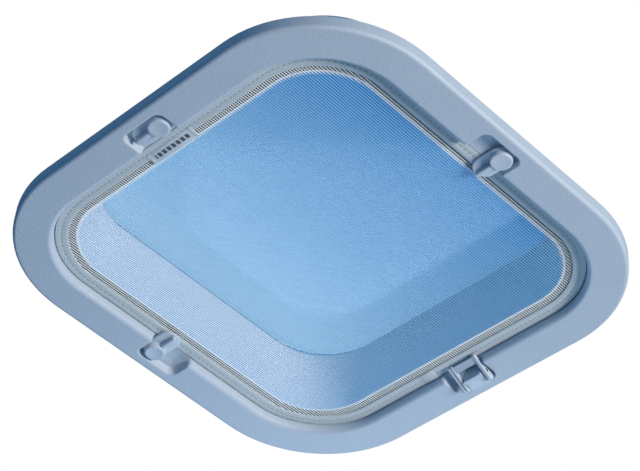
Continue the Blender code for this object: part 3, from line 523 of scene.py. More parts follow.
class Shape:
    """Mesh operations that the sub-assemblies share."""

    @staticmethod
    def remap(x: float, y: float, old: Point, new: Point) -> Point:
        """Move a point of one rounded square's outline to another's.

        Args:
            x: The point's x.
            y: The point's y.
            old: Half-width and corner radius of the outline that it is on.
            new: Half-width and corner radius of the outline that it moves to.

        Returns:
            The new x and y.
        """
        old_centre = old[0] - old[1]
        new_centre = new[0] - new[1]
        away_x = abs(x) - old_centre
        away_y = abs(y) - old_centre
        if min(away_x, away_y) > WELD:
            angle = math.atan2(away_y, away_x)
            moved_x = new_centre + new[1] * math.cos(angle)
            moved_y = new_centre + new[1] * math.sin(angle)
            return math.copysign(moved_x, x), math.copysign(moved_y, y)
        if away_x > away_y:
            return math.copysign(new[0], x), y * new_centre / old_centre
        return x * new_centre / old_centre, math.copysign(new[0], y)

    @staticmethod
    def outline(line: tuple[float, float, float], steps: int, fine: tuple[float, int] | None = None) -> BMesh:
        """Start a mesh with the outline of a rounded square.

        Args:
            line: Half-width, corner radius and height.
            steps: Segments of each corner.
            fine: Half-length and cuts of a finely divided stretch in the middle of each side.

        Returns:
            The mesh, with edges only.
        """
        half, radius, height = line
        bm = bmesh.new()
        place = Matrix.Translation((0.0, 0.0, height)) @ Matrix.Rotation(math.pi / 4, 4, "Z")
        bmesh.ops.create_circle(bm, cap_ends=True, segments=4, radius=half * math.sqrt(2), matrix=place)
        Shape.bevel(bm, bm.verts[:], radius, steps, "VERTICES")
        bmesh.ops.delete(bm, geom=bm.faces[:], context="FACES_ONLY")
        if fine is not None:
            reach, cuts = fine
            for axis in (0, 1):
                for side in (-1, 1):
                    plane = Vector((0.0, 0.0, 0.0))
                    plane[axis] = side * reach
                    normal = Vector((0.0, 0.0, 0.0))
                    normal[axis] = 1.0
                    geom = bm.verts[:] + bm.edges[:]
                    bmesh.ops.bisect_plane(bm, geom=geom, dist=WELD, plane_co=plane, plane_no=normal)
            limit = 2 * reach + 10 * WELD
            middle = [
                edge
                for edge in bm.edges
                if min(sum(abs(vert.co[axis]) for vert in edge.verts) for axis in (0, 1)) < limit
                and edge.calc_length() > reach
            ]
            bmesh.ops.subdivide_edges(bm, edges=middle, cuts=cuts)
        return bm

    @classmethod
    def ring(
        cls, section: Section, steps: int = 20, closed: bool = True, fine: tuple[float, int] | None = None
    ) -> BMesh:
        """Sweep a section round the square.

        Args:
            section: Half-width, corner radius and height of each line of the section.
            steps: Segments of each corner.
            closed: Whether the last line joins the first.
            fine: As for outline.

        Returns:
            The mesh.
        """
        bm = cls.outline(section[0], steps, fine)
        edges = bm.edges[:]
        rows = section[1:] + (section[:1] if closed else [])
        old = section[0]
        for new in rows:
            grown = bmesh.ops.extrude_edge_only(bm, edges=edges)["geom"]
            edges = [part for part in grown if isinstance(part, bmesh.types.BMEdge)]
            for vert in (part for part in grown if isinstance(part, bmesh.types.BMVert)):
                x, y = cls.remap(vert.co.x, vert.co.y, old[:2], new[:2])
                vert.co = (x, y, new[2])
            old = new
        if closed:
            bmesh.ops.remove_doubles(bm, verts=bm.verts[:], dist=WELD)
        return bm

    @classmethod
    def slab(cls, section: Section, steps: int = 20) -> BMesh:
        """Make a solid rounded square from the lines of its edge, lowest first."""
        bm = cls.ring(section, steps, closed=False)
        ends = [edge for edge in bm.edges if len(edge.link_faces) == 1]
        low = [edge for edge in ends if abs(edge.verts[0].co.z - section[0][2]) < WELD]
        high = [edge for edge in ends if edge not in set(low)]
        for rim in (low, high):
            bmesh.ops.edgeloop_fill(bm, edges=rim)
        return bm

    @staticmethod
    def arc(centre: Point, radius: float, start: float, end: float, steps: int) -> list[Point]:
        """Return points of an arc, angles in degrees."""
        angles = [math.radians(start + (end - start) * step / steps) for step in range(steps + 1)]
        return [(centre[0] + radius * math.cos(a), centre[1] + radius * math.sin(a)) for a in angles]

    @staticmethod
    def spun(profile: Sequence[Point], steps: int = 40) -> BMesh:
        """Turn a profile of (radius, height) that starts and ends on the axis."""
        bm = bmesh.new()
        verts = [bm.verts.new((radius, 0.0, height)) for radius, height in profile]
        edges = [bm.edges.new(pair) for pair in zip(verts, verts[1:])]
        bmesh.ops.spin(
            bm,
            geom=verts + edges,
            cent=(0.0, 0.0, 0.0),
            axis=(0.0, 0.0, 1.0),
            angle=2.0 * math.pi,
            steps=steps,
            use_merge=True,
        )
        bmesh.ops.remove_doubles(bm, verts=bm.verts[:], dist=WELD)
        return bm

    @staticmethod
    def plate(
        outline: Sequence[Point], low: float, high: float, edge: float, segments: int = 3
    ) -> BMesh:
        """Extrude an outline and round its edges.

        Args:
            outline: Points of the outline, in order.
            low: Lower height.
            high: Upper height.
            edge: Rounding of the edges between the faces and the sides.
            segments: Segments of the rounding.

        Returns:
            The mesh.
        """
        bm = bmesh.new()
        face = bm.faces.new([bm.verts.new((x, y, low)) for x, y in outline])
        grown = bmesh.ops.extrude_face_region(bm, geom=[face])["geom"]
        top = [part for part in grown if isinstance(part, bmesh.types.BMVert)]
        bmesh.ops.translate(bm, verts=top, vec=(0.0, 0.0, high - low))
        bmesh.ops.recalc_face_normals(bm, faces=bm.faces[:])
        if edge > 0.0:
            rims = [e for e in bm.edges if abs(e.verts[0].co.z - e.verts[1].co.z) < WELD]
            Shape.bevel(bm, rims, edge, segments)
        return bm

    @staticmethod
    def bevel(bm: BMesh, geom: list, width: float, segments: int = 2, affect: str = "EDGES") -> None:
        """Round edges, or an outline's corners.

        Args:
            bm: The mesh.
            geom: The edges, or the corners' vertices.
            width: Rounding.
            segments: Segments of the rounding.
            affect: EDGES or VERTICES.
        """
        bmesh.ops.bevel(
            bm,
            geom=geom,
            offset=width,
            offset_type="OFFSET",
            segments=segments,
            profile=0.5,
            affect=affect,
            material=-1,
            clamp_overlap=affect == "EDGES",
        )

    @staticmethod
    def capsule(start: float, end: float, half_width: float, steps: int = 12) -> list[Point]:
        """Return the outline of a bar along X with round ends."""
        right = Shape.arc((end - half_width, 0.0), half_width, -90.0, 90.0, steps)
        left = Shape.arc((start + half_width, 0.0), half_width, 90.0, 270.0, steps)
        return right + left

    @staticmethod
    def placed(bm: BMesh, matrix: Matrix) -> BMesh:
        """Place a mesh by a matrix."""
        bmesh.ops.transform(bm, matrix=matrix, verts=bm.verts[:])
        return bm

    @staticmethod
    def appended(first: BMesh, second: BMesh) -> BMesh:
        """Add the second mesh's parts to the first."""
        spare = bpy.data.meshes.new("spare")
        second.to_mesh(spare)
        second.free()
        first.from_mesh(spare)
        bpy.data.meshes.remove(spare)
        return first

    @staticmethod
    def fused(first: BMesh, *others: BMesh, cut: bool = False) -> BMesh:
        """Join solids into one skin, or cut the others out of the first."""
        objects = []
        for bm in (first, *others):
            bmesh.ops.recalc_face_normals(bm, faces=bm.faces[:])
            data = bpy.data.meshes.new("blank")
            bm.to_mesh(data)
            bm.free()
            item = bpy.data.objects.new("blank", data)
            bpy.context.scene.collection.objects.link(item)
            objects.append(item)
        for other in objects[1:]:
            step = objects[0].modifiers.new("join", "BOOLEAN")
            step.object = other
            step.operation = "DIFFERENCE" if cut else "UNION"
            step.solver = "EXACT"
        result = objects[0].evaluated_get(bpy.context.evaluated_depsgraph_get())
        made = bmesh.new()
        made.from_mesh(result.to_mesh())
        result.to_mesh_clear()
        for item in objects:
            data = item.data
            bpy.data.objects.remove(item)
            bpy.data.meshes.remove(data)
        bmesh.ops.remove_doubles(made, verts=made.verts[:], dist=BOOLEAN_WELD)
        bmesh.ops.dissolve_degenerate(made, edges=made.edges[:], dist=BOOLEAN_WELD)
        return made

    @staticmethod
    def copied(node: str, width: float, segments: int = 2, angle: float = 35.0) -> BMesh:
        """Copy a plain part, merge it and round its sharp edges.

        Args:
            node: The part's name.
            width: Rounding.
            segments: Segments of the rounding.
            angle: Smallest angle of an edge that is rounded, in degrees.

        Returns:
            The mesh.
        """
        bm = bmesh.new()
        bm.from_mesh(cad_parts[node].data)
        bmesh.ops.remove_doubles(bm, verts=bm.verts[:], dist=BOOLEAN_WELD)
        bmesh.ops.dissolve_limit(bm, angle_limit=math.radians(1.0), verts=bm.verts[:], edges=bm.edges[:])
        limit = math.radians(angle)
        sharp = [e for e in bm.edges if len(e.link_faces) == 2 and e.calc_face_angle(0.0) > limit]
        Shape.bevel(bm, sharp, width, segments)
        return bm


class Piece:
    """Turns meshes into pieces that ride on a body."""

    @staticmethod
    def add(
        name: str,
        bm: BMesh,
        finish: str,
        body: Body,
        slot: Slot,
        replaces: Sequence[str] = (),
        sharp: float = 42.0,
    ) -> bpy.types.Object:
        """Make a piece.

        Args:
            name: The piece's name.
            bm: Its mesh, which is freed.
            finish: Name of its finish.
            body: The body that it rides on.
            slot: A material slot name; not used.
            replaces: Plain parts that it stands for.
            sharp: Angle past which an edge stays sharp, in degrees.

        Returns:
            The piece.
        """
        bmesh.ops.recalc_face_normals(bm, faces=bm.faces[:])
        data = bpy.data.meshes.new(name)
        bm.to_mesh(data)
        bm.free()
        data.shade_smooth()
        data.set_sharp_from_angle(angle=math.radians(sharp))
        data.materials.append(FINISHES.get(finish))
        item = bpy.data.objects.new(name, data)
        bpy.context.scene.collection.objects.link(item)
        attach(item, body.value)
        if replaces:
            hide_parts(*replaces)
        LOG.info("%s: %d faces", name, len(data.polygons))
        return item

    @staticmethod
    def refine(
        node: str, finish: str, body: Body, slot: Slot, width: float, angle: float = 35.0
    ) -> bpy.types.Object:
        """Replace a plain part with a copy whose edges are rounded."""
        bm = Shape.copied(node, width, 2, angle)
        return Piece.add(f"fine_{node}", bm, finish, body, slot, [node], 50.0)


def side_matrix(turn: float) -> Matrix:
    """Return the turn that takes the near side to another side."""
    return Matrix.Rotation(math.radians(turn), 4, "Z")


# Sub-assemblies


@dataclass
class Trim:
    """The moulded trim on the ceiling, with four side pockets."""

    outer_fillet: float = 0.0026
    lip_fillet: float = 0.0035
    wall: float = 0.0030
    block_half: float = 0.0190
    arm_side: float = 0.0174
    knob_side: float = 0.0169
    pocket_depth: float = 0.0191
    pocket_corner: float = 0.0060
    mouth_blend: float = 0.0036
    wall_run: float = 0.0010
    rim_blend: float = 0.0011
    turns: tuple[float, ...] = (0.0, -90.0, 180.0, 90.0)
    seal_inner: float = 0.1286
    seal_lip: float = -0.0323
    seal_shoulder: float = 0.1336
    seal_edge: float = 0.0004
    wall_low: float = 0.0020
    corner_steps: int = 22
    fine: tuple[float, int] = (0.0222, 118)
    coarse_step: float = 0.0010
    fine_step: float = 0.00038
    fine_from: float = 0.0155
    tolerance: float = 1e-6

    def section(self) -> Section:
        """Return the lines of the trim's section, from the ceiling round the face to the back."""
        face, ceiling = PORT.trim_face, PORT.ceiling
        lines: Section = []

        def line(distance: float, height: float) -> None:
            """Add a line at a distance outside the recess wall."""
            share = distance / (PORT.trim_half - PORT.recess_half)
            half = PORT.recess_half + distance
            inner_corner = PORT.corner(half)
            outer_corner = PORT.trim_radius + half - PORT.trim_half
            lines.append((half, inner_corner + (outer_corner - inner_corner) * share, height))

        width = PORT.trim_half - PORT.recess_half
        line(width, ceiling)
        line(width, ceiling - self.wall_low)
        centre = (width - self.outer_fillet, face + self.outer_fillet)
        for distance, height in Shape.arc(centre, self.outer_fillet, 0.0, -90.0, 10):
            line(distance, height)
        flat = width - self.outer_fillet
        stops = [flat - 0.0011 * step for step in range(1, 3)]
        distance = stops[-1]
        for limit, step in ((self.fine_from, self.fine_step), (self.lip_fillet + 0.0012, self.coarse_step)):
            while distance > limit:
                distance -= step
                stops.append(distance)
        for distance in stops:
            line(distance, face)
        centre = (self.lip_fillet, face + self.lip_fillet)
        for distance, height in Shape.arc(centre, self.lip_fillet, 270.0, 180.0, 10):
            line(distance, height)
        line(0.0, PORT.pocket_floor - 0.0004)
        line(0.0, PORT.pocket_floor + 0.0004)
        line(0.0, PORT.ledge_face)
        ledge = PORT.ledge_inner - PORT.recess_half
        line(ledge, PORT.ledge_face)
        line(ledge, ceiling)
        line(self.wall, ceiling)
        line(self.wall, face + self.wall)
        line(width - self.wall, face + self.wall)
        line(width - self.wall, ceiling)
        return lines

    def signed(self, along: float, out: float) -> float:
        """Return the distance from a pocket's edge, below zero inside it.

        Args:
            along: Place along the side.
            out: Distance outside the recess wall.

        Returns:
            The distance, with the corners at the pocket's mouth blended.
        """
        low, high = -self.arm_side, self.knob_side
        centre, half = (low + high) / 2, (high - low) / 2
        depth = self.pocket_depth
        off_x = abs(along - centre) - (half - self.pocket_corner)
        off_y = out - (depth - self.pocket_corner)
        outside = math.hypot(max(off_x, 0.0), max(off_y, 0.0))
        inside = min(max(off_x, off_y), 0.0)
        box = outside + inside - self.pocket_corner
        blend = self.mouth_blend
        share = max(blend - abs(box - out), 0.0) / blend
        return min(box, out) - share * share * blend / 4

    def floor(self, along: float, out: float) -> float:
        """Return the height that a pocket cuts the trim's face to."""
        distance = -self.signed(along, out)
        drop = PORT.pocket_floor - PORT.trim_face
        if distance <= 0.0:
            return PORT.trim_face + distance * 0.6
        share = min(distance / self.wall_run, 1.0)
        wall = drop * math.sqrt(1.0 - (1.0 - share) ** 2)
        inward = max(0.0, min(1.0, distance / 0.0090))
        hollow = 0.0007 * math.sin(math.pi * inward / 2) ** 2 * min(1.0, max(0.0, out) / 0.005)
        return PORT.trim_face + wall + hollow

    def carve(self, bm: BMesh) -> None:
        """Press the four pockets into the face and fill the back behind them."""
        back_floor = PORT.trim_face + self.wall
        for vert in bm.verts:
            for turn in self.turns:
                local = side_matrix(-turn) @ vert.co
                out = -local.y - PORT.recess_half
                if local.y > 0.0 or out < -0.0002 or abs(local.x) > 0.024:
                    continue
                behind = abs(vert.co.z - back_floor) < self.tolerance and out > self.wall - self.tolerance
                if behind and abs(local.x) < self.block_half:
                    vert.co.z = PORT.ceiling
                elif not behind and vert.co.z < PORT.ledge_face - 0.0001:
                    target = self.floor(local.x, out)
                    blend = self.rim_blend
                    share = max(blend - abs(target - vert.co.z), 0.0) / blend
                    raised = max(target, vert.co.z) + share * share * blend / 4
                    if target > PORT.trim_face - 0.0005:
                        vert.co.z = min(raised, PORT.ledge_face)

    def build(self) -> None:
        """Build the trim, the ledge seal and the trim screws."""
        bm = Shape.ring(self.section(), self.corner_steps, fine=self.fine)
        self.carve(bm)
        bmesh.ops.dissolve_degenerate(bm, edges=bm.edges[:], dist=self.tolerance)
        Piece.add("trim_moulding", bm, "trim", Body.BASE, Slot.TRIM, ["trim_ring"], 75.0)
        edge = self.seal_edge
        profile = [
            (self.seal_inner, PORT.ceiling),
            (self.seal_inner, self.seal_lip + edge),
            (self.seal_inner + edge, self.seal_lip),
            (self.seal_shoulder - edge, self.seal_lip),
            (self.seal_shoulder, PORT.ledge_face - edge),
            (self.seal_shoulder + edge, PORT.ledge_face),
            (PORT.ledge_inner - PORT.gap, PORT.ledge_face),
            (PORT.ledge_inner - PORT.gap, PORT.ceiling),
        ]
        seal = Shape.ring(PORT.squares(profile))
        Piece.add("ledge_seal_strip", seal, "seal", Body.BASE, Slot.RUBBER, ["ledge_seal"])
        for number in range(1, 9):
            Piece.refine(f"trim_screw_{number}", "steel", Body.BASE, Slot.STEEL, 0.00015)


@dataclass
class InsectScreen:
    """The woven mesh, its hem, border tape, stitching, label and wire."""

    tape_inner: float = 0.1330
    tape_outer: float = 0.1420
    tape_face: float = -0.0338
    tape_back: float = -0.0331
    mesh_half: float = 0.1354
    long_radius: float = 0.000125
    cross_radius: float = 0.000260
    thread_height: float = -0.03262
    layer_gap: float = 0.00030
    pitch_x: float = 0.001411
    pitch_y: float = 0.001814
    hem_inner: float = 0.1336
    hem_outer: float = 0.1416
    stitch_pitch: float = 0.0040
    stitch_length: float = 0.0027
    stitch_half: float = 0.1377
    label_middle: float = 0.0015
    label_outer: float = 0.1368
    label_width: float = 0.0085
    label_length: float = 0.0405
    wire_radius: float = 0.0007
    shortest_thread: float = 0.010

    def reach(self, offset: float) -> float:
        """Return how far a thread runs each way from the middle at an offset from it."""
        radius = PORT.corner(self.mesh_half)
        centre = self.mesh_half - radius
        past = abs(offset) - centre
        if past <= 0.0:
            return self.mesh_half
        return centre + math.sqrt(max(radius * radius - past * past, 0.0))

    def cloth(self) -> bpy.types.Object:
        """Weave the mesh from crossing threads, with its hem under the tape."""
        bm = bmesh.new()
        for along_y, pitch, height, radius in (
            (True, self.pitch_x, self.thread_height, self.long_radius),
            (False, self.pitch_y, self.thread_height - self.layer_gap, self.cross_radius),
        ):
            count = int(self.mesh_half / pitch)
            for index in range(-count, count + 1):
                offset = index * pitch
                length = 2.0 * self.reach(offset) - 0.0002
                if length < self.shortest_thread:
                    continue
                point = (offset, 0.0, height) if along_y else (0.0, offset, height)
                lay = Matrix.Rotation(math.pi / 2, 4, "X" if along_y else "Y")
                bmesh.ops.create_cone(
                    bm,
                    cap_ends=True,
                    segments=6,
                    radius1=radius,
                    radius2=radius,
                    depth=length,
                    matrix=Matrix.Translation(point) @ lay,
                )
        low, high = self.tape_back + 0.00004, self.tape_back + 0.00026
        inner, outer = self.hem_inner, self.hem_outer
        hem = PORT.squares([(inner, low), (outer, low), (outer, high), (inner, high)])
        Shape.appended(bm, Shape.ring(hem))
        return Piece.add("insect_mesh", bm, "thread", Body.BASE, Slot.MESH, ["screen_mesh"])

    def tape(self) -> bpy.types.Object:
        """Make the border tape: a soft band with a shallow groove under the stitching."""
        low, high = self.tape_face, self.tape_back
        width = self.tape_outer - self.tape_inner
        profile = [
            (0.0, high),
            (0.0, low + 0.00030),
            (0.00012, low + 0.00012),
            (0.00040, low),
            (width * 0.30, low),
            (width * 0.46, low + 0.00008),
            (width * 0.52, low + 0.00022),
            (width * 0.58, low + 0.00008),
            (width * 0.72, low),
            (width - 0.00040, low + 0.00004),
            (width - 0.00012, low + 0.00014),
            (width, low + 0.00032),
            (width, high),
        ]
        section = PORT.squares([(self.tape_inner + distance, height) for distance, height in profile])
        bm = Shape.ring(section, 28)
        return Piece.add("border_tape", bm, "tape", Body.BASE, Slot.TAPE, ["screen_tape"], 60.0)

    def stitches(self) -> bpy.types.Object:
        """Lay the stitches along the middle of the tape."""
        bm = bmesh.new()
        radius = PORT.corner(self.stitch_half)
        centre = self.stitch_half - radius
        straight = 2.0 * centre
        quarter = math.pi * radius / 2.0
        total = 4.0 * (straight + quarter)
        count = int(total / self.stitch_pitch)
        height = self.tape_face + 0.00010
        for index in range(count):
            distance = index * total / count
            side, rest = divmod(distance, straight + quarter)
            if rest < straight:
                point = Vector((rest - centre, -self.stitch_half, 0.0))
                heading = 0.0
            else:
                heading = (rest - straight) / radius
                point = Vector((centre, -centre, 0.0))
                point += Vector((math.sin(heading), -math.cos(heading), 0.0)) * radius
            turn = Matrix.Rotation(side * math.pi / 2, 4, "Z")
            place = turn @ Matrix.Translation(point + Vector((0.0, 0.0, height)))
            place = place @ Matrix.Rotation(heading, 4, "Z")
            scale = Matrix.Diagonal((self.stitch_length / 2, 0.00030, 0.00020, 1.0))
            bmesh.ops.create_icosphere(bm, subdivisions=1, radius=1.0, matrix=place @ scale)
        return Piece.add("tape_stitches", bm, "stitch", Body.BASE, Slot.TAPE)

    def tape_end(self) -> bpy.types.Object:
        """Lay the tape's lapped end where its two ends meet."""
        width = self.tape_outer - self.tape_inner - 0.0004
        half = width / 2
        outline = [(-0.0052, -half), (0.0048, -half), (0.0056, half), (-0.0060, half)]
        bm = Shape.plate(outline, self.tape_face - 0.00028, self.tape_face + 0.00030, 0.00012, 2)
        middle = (self.tape_inner + self.tape_outer) / 2
        place = Matrix.Translation((middle, 0.0262, 0.0)) @ Matrix.Rotation(math.pi / 2, 4, "Z")
        Shape.placed(bm, place)
        return Piece.add("tape_lap", bm, "tape", Body.BASE, Slot.TAPE)

    def label(self) -> bpy.types.Object:
        """Make the sewn label, folded over the tape's inner edge."""
        face = self.tape_face - 0.00012
        fold_half = 0.0012
        left, right = -self.label_outer, -self.label_outer + self.label_width

        def strip(middle: float, half: float, low: float, high: float, edge: float) -> BMesh:
            """Return a rounded strip across the label."""
            corners = [(left, -half), (right, -half), (right, half), (left, half)]
            return Shape.placed(Shape.plate(corners, low, high, edge), Matrix.Translation((0.0, middle, 0.0)))

        bm = strip(self.label_middle, self.label_length / 2, face, self.tape_back - 0.0002, 0.00018)
        for end in (-1, 1):
            middle = self.label_middle + end * (self.label_length / 2 - 0.0013)
            Shape.appended(bm, strip(middle, fold_half, face - 0.00014, face + 0.00030, 0.00012))
        return Piece.add("sewn_label", bm, "label", Body.BASE, Slot.TAPE, ["screen_label"])

    def wire(self) -> bpy.types.Object:
        """Make the round wire in the screen's edge."""
        away = PORT.gap + self.wire_radius
        centre = (self.mesh_half + away, self.tape_back + away)
        ring = Shape.ring(PORT.squares(Shape.arc(centre, self.wire_radius, 0.0, 330.0, 11)))
        return Piece.add("edge_wire", ring, "steel", Body.BASE, Slot.STEEL, ["screen_wire"])

    def build(self) -> None:
        """Build the screen, keep the mesh from casting shadows and work out the cloth's area."""
        cloth = self.cloth()
        cloth.visible_shadow = False
        with_pieces = [self.tape(), self.stitches(), self.tape_end(), self.label(), self.wire()]
        side = 2.0 * self.hem_outer
        radius = PORT.corner(self.hem_outer)
        area = side * side - (4.0 - math.pi) * radius * radius


@dataclass
class Catch:
    """One turn catch: knob, arm and fin in one moulding."""

    label: str
    body: Body
    turn: float
    arm_turn: float
    pivot: Point = (0.0075, -0.152)
    knob_radius: float = 0.00735
    arm_half: float = 0.0083
    reach: float = 0.0215
    arm_thickness: float = 0.0022
    back: float = -0.0341
    top: float = -0.0406
    bore_radius: float = 0.00225
    bore_depth: float = 0.0052
    arm_edge: float = 0.00045
    knob_edge: float = 0.0009
    dish: float = 0.00006
    buried: float = 0.0004
    fin_half: float = 0.00165
    fin_edge: float = 0.0006

    def centre(self) -> Vector:
        """Return the middle of the knob, at the arm's back."""
        return side_matrix(self.turn) @ Vector((*self.pivot, self.back))

    def build(self) -> None:
        """Build the catch and refine its pivot."""
        height = self.back - self.top
        knob, buried, edge = self.knob_radius, self.buried, self.knob_edge
        outline = Shape.capsule(-self.arm_half, self.reach, self.arm_half, 20)
        arm = Shape.plate(outline, 0.0, self.arm_thickness, self.arm_edge)
        blend = self.arm_half - knob - 0.00002
        base = self.arm_half - 0.0006
        profile: list[Point] = [(0.0, buried), (base, buried), (base, self.arm_thickness - buried)]
        centre = (knob + blend, self.arm_thickness + blend - 0.0003)
        profile += Shape.arc(centre, blend, 270.0, 180.0, 6)[1:]
        profile += Shape.arc((knob - edge, height - edge), edge, 0.0, 90.0, 6)
        profile += [(knob * 0.72, height), (knob * 0.66, height - self.dish), (0.0, height - self.dish)]
        turned = Shape.spun(profile, 48)
        outline = Shape.capsule(knob - 0.0012, self.reach - 0.0009, self.fin_half, 8)
        fin = Shape.plate(outline, 0.0012, height - 0.0008, self.fin_edge)
        low, high, wide = -0.001, self.bore_depth, self.bore_radius
        bore = Shape.spun([(0.0, low), (wide, low), (wide, high), (0.0, high)], 32)
        fused = Shape.fused(Shape.fused(arm, turned, fin), bore, cut=True)
        matrix = Matrix.Translation(self.centre()) @ Matrix.Rotation(math.radians(self.arm_turn), 4, "Z")
        matrix = matrix @ Matrix.Rotation(math.pi, 4, "X")
        Shape.placed(fused, matrix)
        nodes = [f"catch_{self.label}"]
        Piece.add(f"turn_catch_{self.label}", fused, "smooth", self.body, Slot.SMOOTH, nodes, 38.0)
        Piece.refine(f"catch_pivot_{self.label}", "steel", Body.BASE, Slot.STEEL, 0.0002)


@dataclass
class RockingClip:
    """The rocking clip: a bail with two cheeks on a fixed block and pin."""

    centre: float = -0.0032
    width: float = 0.0245
    cheek: float = 0.0028
    grooved_cheek: float = 0.0039
    groove_depth: float = 0.0007
    pivot: Point = (0.1515, -0.040542)
    bore: float = 0.0014
    nose: Point = (0.1390, -0.0356)
    end: Point = (0.1562, -0.0424)
    nose_radius: float = 0.0012
    end_radius: float = 0.0028
    bar_run: float = 0.0052

    def cheek_outline(self, sunk: float) -> list[Point]:
        """Return a cheek's side outline, a tear-drop round two circles, made smaller by a depth."""
        nose, end = Vector(self.nose), Vector(self.end)
        along = end - nose
        slope = math.degrees(math.atan2(along.y, along.x))
        swing = math.degrees(math.acos((self.nose_radius - self.end_radius) / along.length))
        outline = Shape.arc(self.end, self.end_radius - sunk, slope - swing, slope + swing, 18)
        outline += Shape.arc(self.nose, self.nose_radius - sunk, slope + swing, slope + 360.0 - swing, 10)
        return outline

    def bar_outline(self) -> list[Point]:
        """Return the cross-bar's side outline."""
        nose, end = Vector(self.nose), Vector(self.end)
        inner = nose + (end - nose).normalized() * self.bar_run
        normal = Vector((-(end - nose).y, (end - nose).x)).normalized() * self.nose_radius * 0.85
        return [tuple(nose + normal), tuple(nose - normal), tuple(inner - normal), tuple(inner + normal)]

    def build(self) -> None:
        """Build the bail, the block, the pin and the screw."""
        upright = Matrix.Rotation(math.pi / 2, 4, "X")
        low, high = self.centre - self.width / 2, self.centre + self.width / 2
        wide = self.grooved_cheek
        layers = [
            (low, low + self.cheek, 0.0, 0.00055),
            (high - 0.0013, high, 0.0, 0.00035),
            (high - wide + 0.0013, high - 0.0010, self.groove_depth, 0.0),
            (high - wide, high - wide + 0.0016, 0.0, 0.00035),
        ]
        parts = []
        for start, end, sunk, edge in layers:
            cheek = Shape.plate(self.cheek_outline(sunk), 0.0, end - start, edge)
            parts.append(Shape.placed(cheek, Matrix.Translation((0.0, end, 0.0)) @ upright))
        bar = Shape.plate(self.bar_outline(), 0.0, self.width - 0.0014, 0.0002)
        parts.append(Shape.placed(bar, Matrix.Translation((0.0, high - 0.0007, 0.0)) @ upright))
        bail = Shape.fused(*parts)
        bore = Shape.spun([(0.0, -0.1), (self.bore, -0.1), (self.bore, 0.1), (0.0, 0.1)], 24)
        Shape.placed(bore, Matrix.Translation((self.pivot[0], 0.0, self.pivot[1])) @ upright)
        bail = Shape.fused(bail, bore, cut=True)
        Piece.add("rocking_bail", bail, "smooth", Body.CLIP, Slot.SMOOTH, ["clip_bail"], 38.0)
        Piece.refine("clip_block", "smooth", Body.BASE, Slot.SMOOTH, 0.0007, 60.0)
        Piece.refine("clip_pin", "steel", Body.BASE, Slot.STEEL, 0.0002)
        Piece.refine("clip_screw", "steel", Body.BASE, Slot.STEEL, 0.0002)


